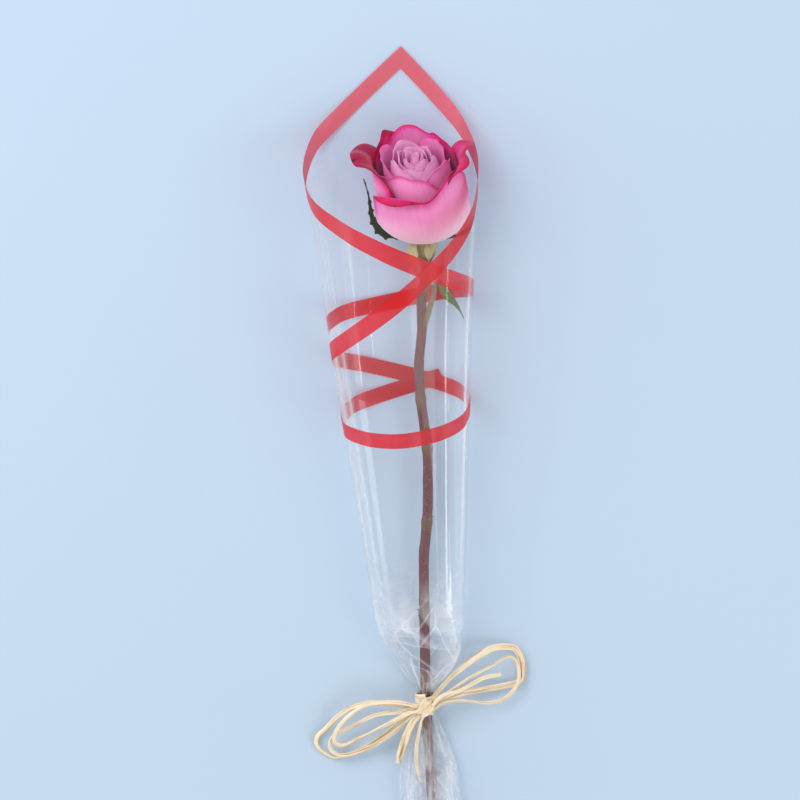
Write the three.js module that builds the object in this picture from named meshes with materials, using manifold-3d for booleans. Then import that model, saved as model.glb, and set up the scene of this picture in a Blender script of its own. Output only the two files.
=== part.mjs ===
// A single cut rose in a clear film sleeve, tied at the neck with raffia.
// It lies on its back on a table. Millimetres: +Z is up, +Y runs from the cut end of the stem to
// the flower, and +X is to the right for someone who looks down on it. The tie is the place that
// the drawing is made from; the last lines put the origin under the middle of the whole.
import * as THREE from "three";
import { mergeVertices } from "three/addons/utils/BufferGeometryUtils.js";
import Module from "manifold-3d";

const wasm = await Module();
wasm.setup();
const { PI, sin, cos, tan, min, max, abs, sqrt, exp, atan2, hypot, floor, round } = Math;
const turn = PI / 180;

// ---- driving dimensions ----
const gap = 0.3; // between pieces that touch

const tipReach = 524; // from the point that the roll narrows to, up to the tip
const longEdgeTurn = 41 * turn; // between the long edge and the line down the roll
const tipSide = 11.5 * turn; // the tip stands this far right of the roll's underside
const filmWall = 0.6; // the stack of film layers
const rollLean = 3.85 * turn; // the roll leans left
const rollShift = 1.1; // and its middle passes this far right of the tie
const rollRoom = 1.76; // radius of the roll at the flower's belly, in radii of the flower
const rollFlat = 0.75; // the underside is pressed flat at this share of the radius
const tieReach = 188.3; // from the roll's point to the tie
const topDrawn = 10; // at the mouth the upper film is drawn this far towards the flower
const topShift = 4.5; // and this far right
const topDrawnLength = 80;
const gatherLength = 34;
const gatherSkew = 0.3; // the gathers start later on the right
const neckHeight = 7.9;
const tailFlare = 13.3;
const tailRise = 6.6;
const tailLength = 68;
const tailFlareLength = 40;
const tailSlant = 0.09; // the tail's end is cut this much askew, as a share of its length
const tailWave = 0.06;
const folds = 8;
const foldDepth = 1.2;
const neckFold = 0.2;
const neckSlack = 0.15; // room in the neck besides the gaps

const stemRadiusTop = 2.45;
const stemRadiusFoot = 2.75;
const hipRadius = 6.6;
const hipLength = 24;
const nodeSwell = 0.45; // how far a node stands out
const nodeLength = 0.006; // half its length, as a share of the stem
const thornTip = 0.35;
const shootRadius = 1.7;
const shootTaper = 0.5;
const leafWall = 0.5;
const leafTip = 0.12; // a leaf's ends are this share of its width

const outerShell = 24; // radius of the outermost petal
const bloomFrom = 244.4; // from the tie to the flower's base
const bloomSide = -0.1;
const bloomRise = 17 * turn;
const bloomLean = 3 * turn;
const bloomSway = 4; // the heart stands this far left of the axis
const swayHeight = 50;
const bellyHeight = 16;
const petalWall = 0.4;
const petalSeat = 6.1; // radius of the outermost petal's foot
const innermostSeat = 0.9;
const innermostShell = 2.9;
const innerHeight = 42.5; // of the inner petals
const innerTilt = 0.26; // they stand higher at the back
const innerClose = 0.2; // and lean in by this share of their radius
const outerClose = 0.6;
const petalRollStart = 0.8; // a petal's rim starts to roll at this share of its height
const cornerDrop = 0.2; // its corners are this share lower
const petalClaw = 0.3; // its foot is this share of its width

const bandWidth = 10;
const bandWall = 0.9;
const bandTurns = 3;
const bandGroove = 0.7; // between turns the band is this share of its wall
const knotSize = new THREE.Vector3(4.6, 4.2, 2.6);
const knotClear = 0.75; // from the knot to a strand's middle
const raffiaThick = 0.8;

// ---- sizes that follow from them ----
const neckRadius = stemRadiusFoot + 2 * gap + filmWall + neckSlack;
const neckHalf = bandWidth / 2 + gap;
const bellyReach = tieReach + bloomFrom + bellyHeight;
const rollSlope = (rollRoom * outerShell) / bellyReach; // radius gained per millimetre
const bloomHeight = outerShell * cos(bloomRise) - bellyHeight * sin(bloomRise) + filmWall + 2 * gap;
const bloomAt = new THREE.Vector3(bloomSide, bloomFrom, bloomHeight);

// ---- helpers ----

// A mesh of one piece in its own colour.
function piece(name, geometry, colour, roughness = 0.6, opacity = 1) {
  const material = new THREE.MeshStandardMaterial({
    color: colour,
    roughness,
    metalness: 0,
    transparent: opacity < 1,
    opacity,
  });
  const mesh = new THREE.Mesh(geometry, material);
  mesh.name = name;
  return mesh;
}

// Geometry from points and triangles.
function fromFaces(points, faces) {
  const geometry = new THREE.BufferGeometry().setFromPoints(points);
  geometry.setIndex(faces);
  geometry.computeVertexNormals();
  return geometry;
}

// A thin closed solid on surface(u, v): two skins, wall apart in the middle, that meet all round.
function thinSolid(surface, wall, across, along) {
  const step = 1e-3;
  const points = [];
  const outer = [];
  const inner = [];
  for (let j = 0; j <= along; j++) {
    for (let i = 0; i <= across; i++) {
      const u = i / across;
      const v = j / along;
      const middle = surface(u, v);
      const du = surface(min(1, u + step), v).sub(surface(max(0, u - step), v));
      const dv = surface(u, min(1, v + step)).sub(surface(u, max(0, v - step)));
      const border = i === 0 || j === 0 || i === across || j === along;
      const offset = du.cross(dv).setLength(border ? 0 : wall / 2);
      outer.push(points.length);
      points.push(middle.clone().add(offset));
      inner.push(border ? outer.at(-1) : points.length);
      if (!border) points.push(middle.clone().sub(offset));
    }
  }
  const faces = [];
  for (let j = 0; j < along; j++) {
    for (let i = 0; i < across; i++) {
      const a = j * (across + 1) + i;
      const corners = [a, a + 1, a + across + 2, a + across + 1];
      const [p, q, r, s] = corners.map((k) => outer[k]);
      const [e, f, g, h] = corners.map((k) => inner[k]);
      faces.push(p, q, r, p, r, s, e, g, f, e, h, g);
    }
  }
  return fromFaces(points, faces);
}

// A closed solid of rings, each a list of as many points, capped at both ends.
function ringSolid(rings) {
  const sides = rings[0].length;
  const points = rings.flat();
  const faces = [];
  for (let j = 0; j + 1 < rings.length; j++) {
    for (let i = 0; i < sides; i++) {
      const a = j * sides + i;
      const b = j * sides + ((i + 1) % sides);
      faces.push(a, b, b + sides, a, b + sides, a + sides);
    }
  }
  const last = (rings.length - 1) * sides;
  for (let i = 1; i + 1 < sides; i++) {
    faces.push(0, i + 1, i, last, last + i, last + i + 1);
  }
  return fromFaces(points, faces);
}

// Rings of radius(t) round a curve, for t from 0 at its start to 1 at its end.
function alongCurve(curve, radius, steps, sides) {
  const frames = curve.computeFrenetFrames(steps);
  return Array.from({ length: steps + 1 }, (_, j) => {
    const middle = curve.getPointAt(j / steps);
    return Array.from({ length: sides }, (_, i) => {
      const a = (2 * PI * i) / sides;
      return middle
        .clone()
        .addScaledVector(frames.normals[j], radius(j / steps) * cos(a))
        .addScaledVector(frames.binormals[j], radius(j / steps) * sin(a));
    });
  });
}

function toSolid(geometry) {
  const bare = geometry.clone();
  bare.deleteAttribute("normal");
  bare.deleteAttribute("uv");
  const merged = mergeVertices(bare);
  return new wasm.Manifold(
    new wasm.Mesh({
      numProp: 3,
      vertProperties: merged.attributes.position.array,
      triVerts: new Uint32Array(merged.index.array),
    }),
  );
}

function toGeometry(solid) {
  const mesh = solid.getMesh();
  const geometry = new THREE.BufferGeometry();
  geometry.setAttribute("position", new THREE.BufferAttribute(mesh.vertProperties, 3));
  geometry.setIndex(new THREE.BufferAttribute(mesh.triVerts, 1));
  geometry.computeVertexNormals();
  return geometry;
}

// From 0 to 1 and level at both ends.
function ease(x) {
  return THREE.MathUtils.smoothstep(x, 0, 1);
}

function point(x, y, z) {
  return new THREE.Vector3(x, y, z);
}

// ---- the film sleeve ----
// The sheet is rolled into a narrow funnel that would end in a point past the tie. side is the
// angle round the roll: 0 underneath, 90 degrees on the right, 180 on top.

// The shape of the funnel's section, for a radius of 1: pressed flat underneath.
function section(side) {
  return [sin(side), max(-cos(side), -rollFlat)];
}

// Distance down the slope for a distance down the middle, at one side.
function slant(side) {
  const [x, z] = section(side);
  return hypot(1, rollSlope * x, rollSlope * (z + rollFlat));
}

// The sheet's own angle, as it lies flat, between the underside and each side of the roll.
const flatAngles = [0];
const flatSteps = 720;
for (let i = 1; i <= flatSteps; i++) {
  const [from, to] = [i - 1, i].map((k) => {
    const side = (2 * PI * k) / flatSteps;
    const [x, z] = section(side);
    return point(rollSlope * x, 1, rollSlope * (z + rollFlat)).normalize();
  });
  flatAngles.push(flatAngles[i - 1] + from.angleTo(to));
}
const flatTurn = flatAngles.at(-1);

function flatAngle(side) {
  const at = (side / (2 * PI)) * flatSteps;
  const whole = floor(at);
  const [a, b] = [whole, whole + 1].map(
    (k) => flatAngles[THREE.MathUtils.euclideanModulo(k, flatSteps)] + floor(k / flatSteps) * flatTurn,
  );
  return a + (b - a) * (at - whole);
}

// How far up the slope an edge of the sheet lies. It leaves the tip at an angle to the line down.
function edgeReach(leaving, away) {
  return (tipReach * sin(leaving)) / sin(PI - leaving - away);
}

// The mouth: the higher of the two edges on each side, as a distance down the middle.
function mouthAt(side) {
  const right = flatAngle(side) - flatAngle(tipSide);
  const left = flatTurn - right;
  const shortEdgeTurn = PI / 2 - longEdgeTurn;
  const reach = max(edgeReach(longEdgeTurn, right), edgeReach(shortEdgeTurn, left));
  return reach / slant(side);
}

// Half width, half height and middle height of the sleeve, reach millimetres from its point.
function sleeveAt(reach, side) {
  const beyond = max(0, abs(reach - tieReach) - neckHalf);
  const wide = rollSlope * reach;
  if (reach > tieReach) {
    const length = gatherLength * (1 - gatherSkew * sin(side));
    const open = sin((PI / 2) * min(1, beyond / length));
    const radius = neckRadius + (wide - neckRadius) * open;
    return [radius, radius, neckHeight + (rollFlat * wide - neckHeight) * open];
  }
  const flare = sin((PI / 2) * min(1, beyond / tailFlareLength));
  return [
    neckRadius + (tailFlare - neckRadius) * flare,
    neckRadius + (tailRise - neckRadius) * flare,
    neckHeight + (tailRise - neckHeight) * flare,
  ];
}

// How deep the gathers are: none on the smooth roll, shallow under the tie.
function foldAt(reach) {
  const beyond = max(0, abs(reach - tieReach) - neckHalf) / gatherLength;
  if (reach < tieReach) return neckFold + foldDepth * min(1, beyond);
  return neckFold * max(0, 1 - beyond) + foldDepth * sin(PI * min(1, beyond));
}

function onSleeve(reach, side, inset) {
  const [wide, high, middle] = sleeveAt(reach, side);
  const fold = foldAt(reach) * cos(folds * side) - inset;
  const z = middle - (high + fold) * cos(side);
  const drawn = sin(side / 2) ** 4 * ease((reach - bellyReach + topDrawnLength) / topDrawnLength);
  const x = (wide + fold) * sin(side) + topShift * drawn;
  return point(x, reach + topDrawn * drawn, max(z, inset));
}

function makeSleeve() {
  const columns = 48;
  const roll = 5; // rows on the smooth roll
  const gathered = [1, 0.75, 0.5, 0.25, 0.1, 0].map((share) => neckHalf + share * gatherLength);
  const tail = [0, 0.1, 0.25, 0.5, 0.75, 1];
  const points = [];
  for (let i = 0; i < columns; i++) {
    const side = tipSide + (2 * PI * i) / columns;
    const mouth = mouthAt(side);
    const smoothEnd = tieReach + neckHalf + gatherLength * (1 + gatherSkew);
    const trimmed = tailLength * (1 + tailSlant * cos(side + 1) + tailWave * cos(3 * side));
    const rows = [
      ...Array.from({ length: roll + 1 }, (_, j) => mouth + ((smoothEnd - mouth) * j) / roll),
      ...gathered.map((beyond) => tieReach + beyond),
      ...tail.map((share) => tieReach - neckHalf - share * (trimmed - neckHalf)),
    ];
    points.push(rows.map((reach) => onSleeve(reach, side, 0)));
    points.push(rows.map((reach) => onSleeve(reach, side, filmWall)));
  }
  const rows = points[0].length;
  const index = (column, skin, row) => ((column % columns) * 2 + skin) * rows + row;
  const faces = [];
  const quad = (a, b, c, d) => faces.push(a, c, b, a, d, c);
  for (let i = 0; i < columns; i++) {
    for (let j = 0; j + 1 < rows; j++) {
      quad(index(i, 0, j), index(i, 0, j + 1), index(i + 1, 0, j + 1), index(i + 1, 0, j));
      quad(index(i, 1, j), index(i + 1, 1, j), index(i + 1, 1, j + 1), index(i, 1, j + 1));
    }
    const end = rows - 1;
    quad(index(i, 0, 0), index(i + 1, 0, 0), index(i + 1, 1, 0), index(i, 1, 0));
    quad(index(i, 0, end), index(i, 1, end), index(i + 1, 1, end), index(i + 1, 0, end));
  }
  return fromFaces(points.flat(), faces);
}

// ---- the flower ----
// Petals are drawn in the bloom's own frame: +Z up its axis, azimuth 0 on the side that faces up
// from the table and 90 degrees on the right.

// Each petal stands on its own shell, so the smaller shells nest inside the larger ones.
// name, azimuth, half spread, height at the roll, roll, radius of the roll
const outerPetals = [
  ["guard_petal_front", 7, 80, 32, 150, 3],
  ["guard_petal_right", 88, 50, 38, 105, 6.5],
  ["guard_petal_left", -88, 54, 39, 105, 6.5],
  ["guard_petal_back_right", 150, 50, 41, 40, 4],
  ["guard_petal_back_left", -142, 52, 43, 60, 4],
  ["second_petal_front", -24, 60, 38, 70, 3.5],
  ["second_petal_back", 176, 62, 47, 30, 5],
  ["second_petal_right", 62, 58, 40, 45, 4],
  ["second_petal_left", -98, 58, 43, 40, 4],
  ["second_petal_back_right", 122, 60, 45, 30, 4],
];
const innerPetals = [
  ["third_petal", 5, 78],
  ["inner_petal", 5, 96],
  ["heart_petal", 3, 118],
];
const goldenTurn = 137.5 * turn;
const innerRoll = 24 * turn;
const innerCurl = 3;

// Radius of a petal's cup at a height: quickly out from its foot, then up, then a little in.
function cupRadius(petal, z) {
  const low = 1 - min(1, z / bellyHeight);
  const foot = innermostSeat + ((petalSeat - innermostSeat) * petal.shell) / outerShell;
  const bulge = sqrt(max(0, 1 - low ** 2.2));
  const above = max(0, z - bellyHeight) / max(1, petal.height - bellyHeight);
  return foot + (petal.shell - foot) * bulge - petal.close * above * above;
}

function petalPoint(petal, u, v) {
  const across = 2 * u - 1;
  const column = petal.height * (1 - cornerDrop * abs(across) ** 2.6);
  const z = column * min(1, v / petalRollStart);
  const lead = 0.01;
  let radius = cupRadius(petal, z);
  let height = gap + z;
  if (v > petalRollStart) {
    const lean = atan2(radius - cupRadius(petal, z - lead), lead);
    const most = petal.roll * (1 - across ** 4);
    const rolled = (most * (v - petalRollStart)) / (1 - petalRollStart);
    radius += petal.curl * (cos(lean) - cos(lean + rolled));
    height += petal.curl * (sin(lean + rolled) - sin(lean));
  }
  const fullWidth = 0.45 * petal.height;
  const spread = petal.spread * (petalClaw + (1 - petalClaw) * ease(z / fullWidth));
  const azimuth = petal.azimuth + across * spread;
  return point(radius * sin(azimuth) - sway(height), -radius * cos(azimuth), height);
}

// How far the flower has bent to the left at a height.
function sway(height) {
  return bloomSway * (height / swayHeight) ** 2;
}

function makePetal(petal, across, along) {
  return thinSolid((u, v) => petalPoint(petal, 1 - u, v), petalWall, across, along);
}

function allPetals() {
  const total = innerPetals.reduce((sum, [, many]) => sum + many, outerPetals.length);
  const shellAt = (k) => outerShell + ((innermostShell - outerShell) * k) / (total - 1);
  const petals = outerPetals.map(([name, azimuth, spread, height, roll, curl], k) => ({
    name,
    azimuth: azimuth * turn,
    shell: shellAt(k),
    spread: spread * turn,
    height,
    roll: roll * turn,
    curl,
    close: outerClose,
  }));
  let count = petals.length;
  for (const [name, many, spread] of innerPetals) {
    for (let i = 0; i < many; i++) {
      const azimuth = count * goldenTurn;
      const shell = shellAt(count);
      petals.push({
        name: `${name}_${i + 1}`,
        azimuth,
        shell,
        spread: spread * turn,
        height: innerHeight - innerTilt * shell * cos(azimuth),
        roll: innerRoll,
        curl: innerCurl,
        close: innerClose * shell,
      });
      count += 1;
    }
  }
  return petals;
}

// The rolled-up heart: a slim bud.
function makeHeart() {
  const sides = 12;
  const rings = [[0.5, gap], [1, 4], [1.6, 10], [1.9, 24], [1.8, 36], [1.2, 41], [0.5, 43]];
  return ringSolid(
    rings.map(([radius, height]) =>
      Array.from({ length: sides }, (_, i) => {
        const a = (2 * PI * i) / sides;
        return point(radius * cos(a) - sway(height), radius * sin(a), height);
      }),
    ),
  );
}

// ---- sepals and leaves ----

// A leaf that follows a curve, flat across side, widest partway along.
function makeLeaf(curve, side, width, widest, wall, along = 10) {
  const across = 4;
  return thinSolid(
    (u, v) => {
      const swell = v < widest ? ease(0.25 + 0.75 * (v / widest)) : ease((1 - v) / (1 - widest));
      const reach = (u - 0.5) * width * max(leafTip, swell);
      return curve.getPoint(v).addScaledVector(side, reach);
    },
    wall,
    across,
    along,
  );
}

// name, azimuth, width, then where it passes: 0 on the hip's skin and 1 outside the outermost
// petal, and the height
const sepals = [
  ["sepal_left", -86, 4, [[0, -1.6], [0.34, -1], [0.76, 2.2], [1, 11], [1.06, 24], [1.16, 33.5]]],
  ["sepal_right", 70, 6, [[0, -1.6], [0.34, -1], [0.76, 2.4], [0.96, 8], [1.06, 13]]],
  ["sepal_front_left", -38, 7.5, [[0, -2.4], [0.12, -4.2], [0.17, -9], [0.12, -14.5], [0.04, -19.5]]],
  ["sepal_front", 12, 4.5, [[0, -2.4], [0.1, -4.2], [0.13, -8], [0.08, -13]]],
  ["sepal_back", 172, 6, [[0, -2.4], [0.11, -4.2], [0.14, -9], [0.08, -15]]],
];

function makeSepal(azimuth, width, route) {
  const out = point(sin(azimuth), -cos(azimuth), 0);
  const side = point(cos(azimuth), sin(azimuth), 0);
  const skin = hipRadius + gap;
  const petals = outerShell + petalWall / 2 + gap + leafWall;
  const curve = new THREE.CatmullRomCurve3(
    route.map(([share, z]) => out.clone().multiplyScalar(skin + share * (petals - skin)).setZ(z)),
  );
  return makeLeaf(curve, side, width, 0.3, leafWall);
}

// ---- the stem ----

// side, how far past the tie as a share of the way to the flower's base, height
const stemRoute = [
  [6.9, -0.434, 2.9],
  [4.4, -0.2, 4.9],
  [3.2, -0.143, 5.8],
  [2.2, -0.078, 6.9],
  [rollShift, 0, neckHeight],
  [0.6, 0.098, 8.8],
  [0.2, 0.225, 9.7],
  [0, 0.309, 10.2],
  [0.9, 0.352, 10.4],
  [1.9, 0.413, 10.7],
  [2, 0.499, 11.1],
  [1.5, 0.552, 11.3],
  [0.2, 0.589, 11.5],
  [-1.6, 0.646, 11.8],
  [-2.5, 0.7, 12],
  [-2.2, 0.741, 12.2],
  [-1, 0.794, 12.5],
  [-1.2, 0.859, 12.9],
].map(([x, share, z]) => point(x, share * bloomFrom, z));

// where along the stem, which way, how long and how wide at the foot
const thorns = [
  [0.605, [1, 0.75, 0.2], 4.2, 1.5],
  [0.46, [-1, 0.5, 0.15], 4.4, 1.7],
  [0.2, [0.8, 0.4, 0.5], 3.4, 1.5],
];
const nodes = [0.27, 0.455, 0.6, 0.715, 0.79];

// Places on the bloom's axis, in the drawing's own frame.
const bloom = new THREE.Group();
bloom.rotation.set(bloomRise - PI / 2, 0, bloomLean, "ZYX");
bloom.position.copy(bloomAt);
bloom.updateMatrix();

function onAxis(height) {
  return point(0, 0, height).applyMatrix4(bloom.matrix);
}

function makeStem() {
  const route = [...stemRoute, onAxis(-hipLength), onAxis(-hipLength + 6)];
  const curve = new THREE.CatmullRomCurve3(route);
  const radius = (t) => {
    const swelling = nodes.reduce((sum, at) => sum + nodeSwell * exp(-(((t - at) / nodeLength) ** 2)), 0);
    return stemRadiusFoot + (stemRadiusTop - stemRadiusFoot) * t + swelling;
  };
  let solid = toSolid(ringSolid(alongCurve(curve, radius, 90, 10)));
  const hipProfile = [
    [0, -hipLength + 4],
    [stemRadiusTop + 0.1, -hipLength + 4],
    [stemRadiusTop + 0.7, -hipLength + 8],
    [4.6, -13],
    [hipRadius - 0.3, -8.5],
    [hipRadius, -5.5],
    [hipRadius - 0.4, -2.5],
    [hipRadius - 0.1, -0.5],
    [petalSeat, 0],
    [0, 0],
  ].map(([r, z]) => new THREE.Vector2(r, z));
  const hip = new THREE.LatheGeometry(hipProfile, 20);
  hip.rotateX(PI / 2);
  hip.applyMatrix4(bloom.matrix);
  solid = solid.add(toSolid(hip));
  for (const [at, way, length, foot] of thorns) {
    const direction = point(...way).normalize();
    const start = curve.getPointAt(at);
    const thorn = new THREE.CylinderGeometry(thornTip, foot, length, 8);
    thorn.translate(0, length / 2, 0);
    thorn.applyQuaternion(
      new THREE.Quaternion().setFromUnitVectors(point(0, 1, 0), direction),
    );
    thorn.translate(start.x, start.y, start.z);
    solid = solid.add(toSolid(thorn));
  }
  return toGeometry(solid.add(makeShoot()));
}

// The side shoot: a short branch that leaves the stem under the flower.
// side, how far below the flower's base, height
const shootRoute = [
  [-1, 51.4, 12.6],
  [1.4, 44, 13.7],
  [4.4, 33.5, 15.2],
  [6.4, 25.4, 16.6],
].map(([x, below, z]) => point(x, bloomFrom - below, z));

function makeShoot() {
  const curve = new THREE.CatmullRomCurve3(shootRoute);
  return toSolid(ringSolid(alongCurve(curve, (t) => shootRadius - shootTaper * t, 10, 8)));
}

// Where the film's inner face passes on the right, at a distance past the tie.
function filmOnRight(y) {
  return rollShift - y * tan(rollLean) + rollSlope * (tieReach + y) - filmWall;
}

// name, width, place of the widest part, and a route: how much of the way from the shoot's end to
// the film on the right, how far below the flower's base, height
const shootLeaves = [
  ["shoot_leaf", 5.2, 0.3, [[0.056, 25, 17.8], [0.13, 27, 19.4], [0.235, 30, 19.8],
    [0.37, 33.2, 19.2], [0.51, 36.4, 18.2], [0.63, 40, 17.4], [0.73, 44, 16.6]]],
  ["stipule", 2.2, 0.35, [[-0.085, 28.8, 17.6], [-0.21, 26, 18.6], [-0.31, 28, 19],
    [-0.31, 31.8, 18.4]]],
];

function leafPoint([share, below, z]) {
  const y = bloomFrom - below;
  const from = shootRoute.at(-1).x;
  return point(from + share * (filmOnRight(y) - from), y, z);
}

// ---- the raffia ----

// The band is wound round the neck, square to the roll's middle line.
function makeBand() {
  const inner = neckRadius + neckFold + gap;
  const half = bandWidth / 2;
  const pitch = bandWidth / bandTurns;
  const groove = inner + bandWall * bandGroove;
  const profile = [[inner, -half]];
  for (let i = 0; i < bandTurns; i++) {
    const from = -half + i * pitch;
    profile.push([groove, from], [inner + bandWall, from + pitch / 2]);
  }
  profile.push([groove, half], [inner, half], [inner, -half]);
  const geometry = new THREE.LatheGeometry(profile.map(([r, y]) => new THREE.Vector2(r, y)), 24);
  geometry.rotateZ(rollLean);
  geometry.translate(rollShift, 0, neckHeight);
  return geometry;
}

const bandTop = neckHeight + neckRadius + neckFold + gap + bandWall;
const knotAt = point(0.8, -1, bandTop + gap + knotSize.z);

function makeKnot() {
  const geometry = new THREE.SphereGeometry(1, 14, 10);
  geometry.rotateX(PI / 2);
  geometry.scale(knotSize.x, knotSize.y, knotSize.z);
  geometry.rotateZ(25 * turn);
  geometry.translate(knotAt.x, knotAt.y, knotAt.z);
  return geometry;
}

// Where a strand leaves the knot: an angle seen from above, and a height above its middle.
function root([angle, lift]) {
  const share = sqrt(max(0, 1 - (lift / knotSize.z) ** 2));
  const reach = knotSize.x * share + knotClear;
  return knotAt.clone().add(point(reach * cos(angle * turn), reach * sin(angle * turn), lift));
}

// name, width, where it leaves the knot, its route, and where it comes back, if it does
const strands = [
  ["raffia_loop_left_low", 3.6, [170, -1.7], [[-19, 0.5, 15], [-31, -1.6, 10], [-41, -7.5, 6.5],
    [-49, -16, 4.2], [-53.4, -20, 3.2], [-53.8, -24.5, 2.7], [-50, -28.6, 2.5], [-43.5, -31, 2.8],
    [-31.5, -26.7, 5], [-20, -18.5, 8.7], [-10, -9, 12.6]], [214, -1.7]],
  ["raffia_loop_left_middle", 2.6, [176, 0], [[-12, -2.4, 17], [-24.5, -5, 14.6], [-36, -12, 10.4],
    [-44.5, -17.6, 8.2], [-47, -22.5, 7], [-45.5, -26.6, 6.6], [-39.5, -28, 6.8], [-28, -23.6, 8.6],
    [-17, -16, 11.8], [-9, -8.6, 15.4]], [208, 0]],
  ["raffia_loop_left_high", 2.8, [164, 1.7], [[-14, 2.6, 19.2], [-28, 0.6, 17], [-37, -6, 14.2],
    [-43, -13.5, 12], [-44.6, -19.6, 10.8], [-41, -22, 10.6], [-32, -17.5, 12], [-19, -10.5, 15.4],
    [-9, -4.6, 18.6]], [200, 1.7]],
  ["raffia_loop_right_low", 4.2, [38, -1.7], [[8, 8.5, 17.3], [15, 16.5, 16.4], [26, 24, 12.2],
    [35, 28.2, 7.2], [45, 28, 4.8], [49.2, 23, 3.8], [50.4, 15.5, 3.2], [48.6, 9, 3.2], [40.5, 7, 4],
    [30.5, 6.4, 6.8], [18.5, 5, 11.2]], [6, -1.7]],
  ["raffia_loop_right_middle", 2.6, [30, 0], [[11, 7, 18.9], [22, 14, 16.4], [35.5, 20, 11],
    [43.5, 23, 8.4], [47, 18, 7.2], [47, 9, 6.6], [41, 1.6, 6.4], [32, -0.8, 7.4],
    [20.5, 1.4, 11], [10, 1, 15.4]], [-14, 0]],
  ["raffia_end_right", 2.8, [20, 1.7], [[10.5, 6.5, 20.8], [18.5, 8.6, 19], [30, 13.6, 14.2],
    [39, 15.4, 12]]],
  ["raffia_end_left", 4.6, [250, -1.2], [[-4.4, -8, 15.4], [-8.4, -16, 14.4], [-11.2, -26, 10],
    [-13, -33, 7]]],
  ["raffia_end_middle", 1.6, [262, 0.6], [[-1.6, -9, 17.6], [-3.6, -20, 17], [-3.8, -30, 16],
    [-1.6, -40, 15.4]]],
];

// A flat strand: its wide side stays level along its route.
function makeStrand([, wide, from, route, to]) {
  const points = [root(from), ...route.map((p) => point(...p))];
  if (to) points.push(root(to));
  const curve = new THREE.CatmullRomCurve3(points);
  const steps = round(curve.getLength() / 4);
  const sides = 8;
  const rings = Array.from({ length: steps + 1 }, (_, j) => {
    const middle = curve.getPointAt(j / steps);
    const along = curve.getTangentAt(j / steps);
    const across = point(0, 0, 1).cross(along).normalize();
    const over = along.clone().cross(across);
    return Array.from({ length: sides }, (_, i) => {
      const a = (2 * PI * (i + 0.5)) / sides;
      return middle
        .clone()
        .addScaledVector(across, (wide / 2) * cos(a))
        .addScaledVector(over, (raffiaThick / 2) * sin(a));
    });
  });
  return ringSolid(rings);
}

// ---- assembly ----

const petalColours = {
  guard: 0xc0205f,
  second: 0xd85aa2,
  third: 0xdf80ba,
  inner: 0xdf80ba,
  heart: 0xd96aa8,
};

for (const petal of allPetals()) {
  const small = petal.shell < 12;
  const colour = petalColours[petal.name.split("_")[0]];
  bloom.add(piece(petal.name, makePetal(petal, small ? 8 : 10, small ? 6 : 8), colour, 0.55));
}
bloom.add(piece("heart_bud", makeHeart(), petalColours.heart, 0.55));
for (const [name, azimuth, width, route] of sepals) {
  bloom.add(piece(name, makeSepal(azimuth * turn, width, route), 0x2f4a26, 0.7));
}

const rose = new THREE.Group();
rose.add(bloom);
rose.add(piece("stem", makeStem(), 0x5e3733, 0.6));
for (const [name, width, widest, route] of shootLeaves) {
  const curve = new THREE.CatmullRomCurve3(route.map(leafPoint));
  const side = point(0.62, 0.66, 0.42).normalize();
  rose.add(piece(name, makeLeaf(curve, side, width, widest, leafWall), 0x55713c, 0.6));
}

const sleeve = piece("film_sleeve", makeSleeve(), 0xe9f1f8, 0.08, 0.35);
sleeve.rotation.z = rollLean;
sleeve.position.set(rollShift + tieReach * sin(rollLean), -tieReach * cos(rollLean), 0);

const tie = new THREE.Group();
tie.add(piece("raffia_band", makeBand(), 0xdcc08c, 0.8));
tie.add(piece("raffia_knot", makeKnot(), 0xdcc08c, 0.8));
for (const strand of strands) tie.add(piece(strand[0], makeStrand(strand), 0xe3c998, 0.8));

const wrappedRose = new THREE.Group();
wrappedRose.add(rose, sleeve, tie);

// The origin goes on the table under the middle of the whole.
const bounds = new THREE.Box3().setFromObject(wrappedRose, true);
const middle = bounds.getCenter(point(0, 0, 0));
wrappedRose.position.set(-middle.x, -middle.y, -bounds.min.z);

export default wrappedRose;
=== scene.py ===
import math

import bpy
import numpy as np
from bpy.props import FloatProperty, FloatVectorProperty, IntProperty, PointerProperty
from bpy.types import Operator, Panel, PropertyGroup
from mathutils import Matrix, Vector


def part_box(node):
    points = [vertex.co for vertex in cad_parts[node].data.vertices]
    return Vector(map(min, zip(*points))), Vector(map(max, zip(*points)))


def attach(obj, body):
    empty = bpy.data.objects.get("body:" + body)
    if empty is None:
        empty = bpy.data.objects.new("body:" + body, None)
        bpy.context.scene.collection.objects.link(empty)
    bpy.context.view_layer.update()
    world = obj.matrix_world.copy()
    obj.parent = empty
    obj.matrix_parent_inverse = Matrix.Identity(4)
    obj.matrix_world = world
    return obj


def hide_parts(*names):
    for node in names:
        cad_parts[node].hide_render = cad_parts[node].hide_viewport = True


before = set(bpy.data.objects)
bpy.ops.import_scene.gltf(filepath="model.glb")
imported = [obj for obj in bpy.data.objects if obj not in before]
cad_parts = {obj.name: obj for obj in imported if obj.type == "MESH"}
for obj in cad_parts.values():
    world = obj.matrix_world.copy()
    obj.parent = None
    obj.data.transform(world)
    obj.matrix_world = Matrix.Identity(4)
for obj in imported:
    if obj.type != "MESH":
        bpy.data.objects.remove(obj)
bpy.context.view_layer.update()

bl_info = {
    "name": "Rose in a Wrapper",
    "version": (1, 0, 0),
    "blender": (4, 5, 0),
    "location": "View3D > Sidebar > Rose",
    "description": "Builds a cut rose in a clear rolled film sleeve that is tied with raffia",
    "category": "Add Mesh",
}

MM = 0.001
TURN = 2 * np.pi

# ---- places that every piece is drawn from, in millimetres from the tie ----

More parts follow.
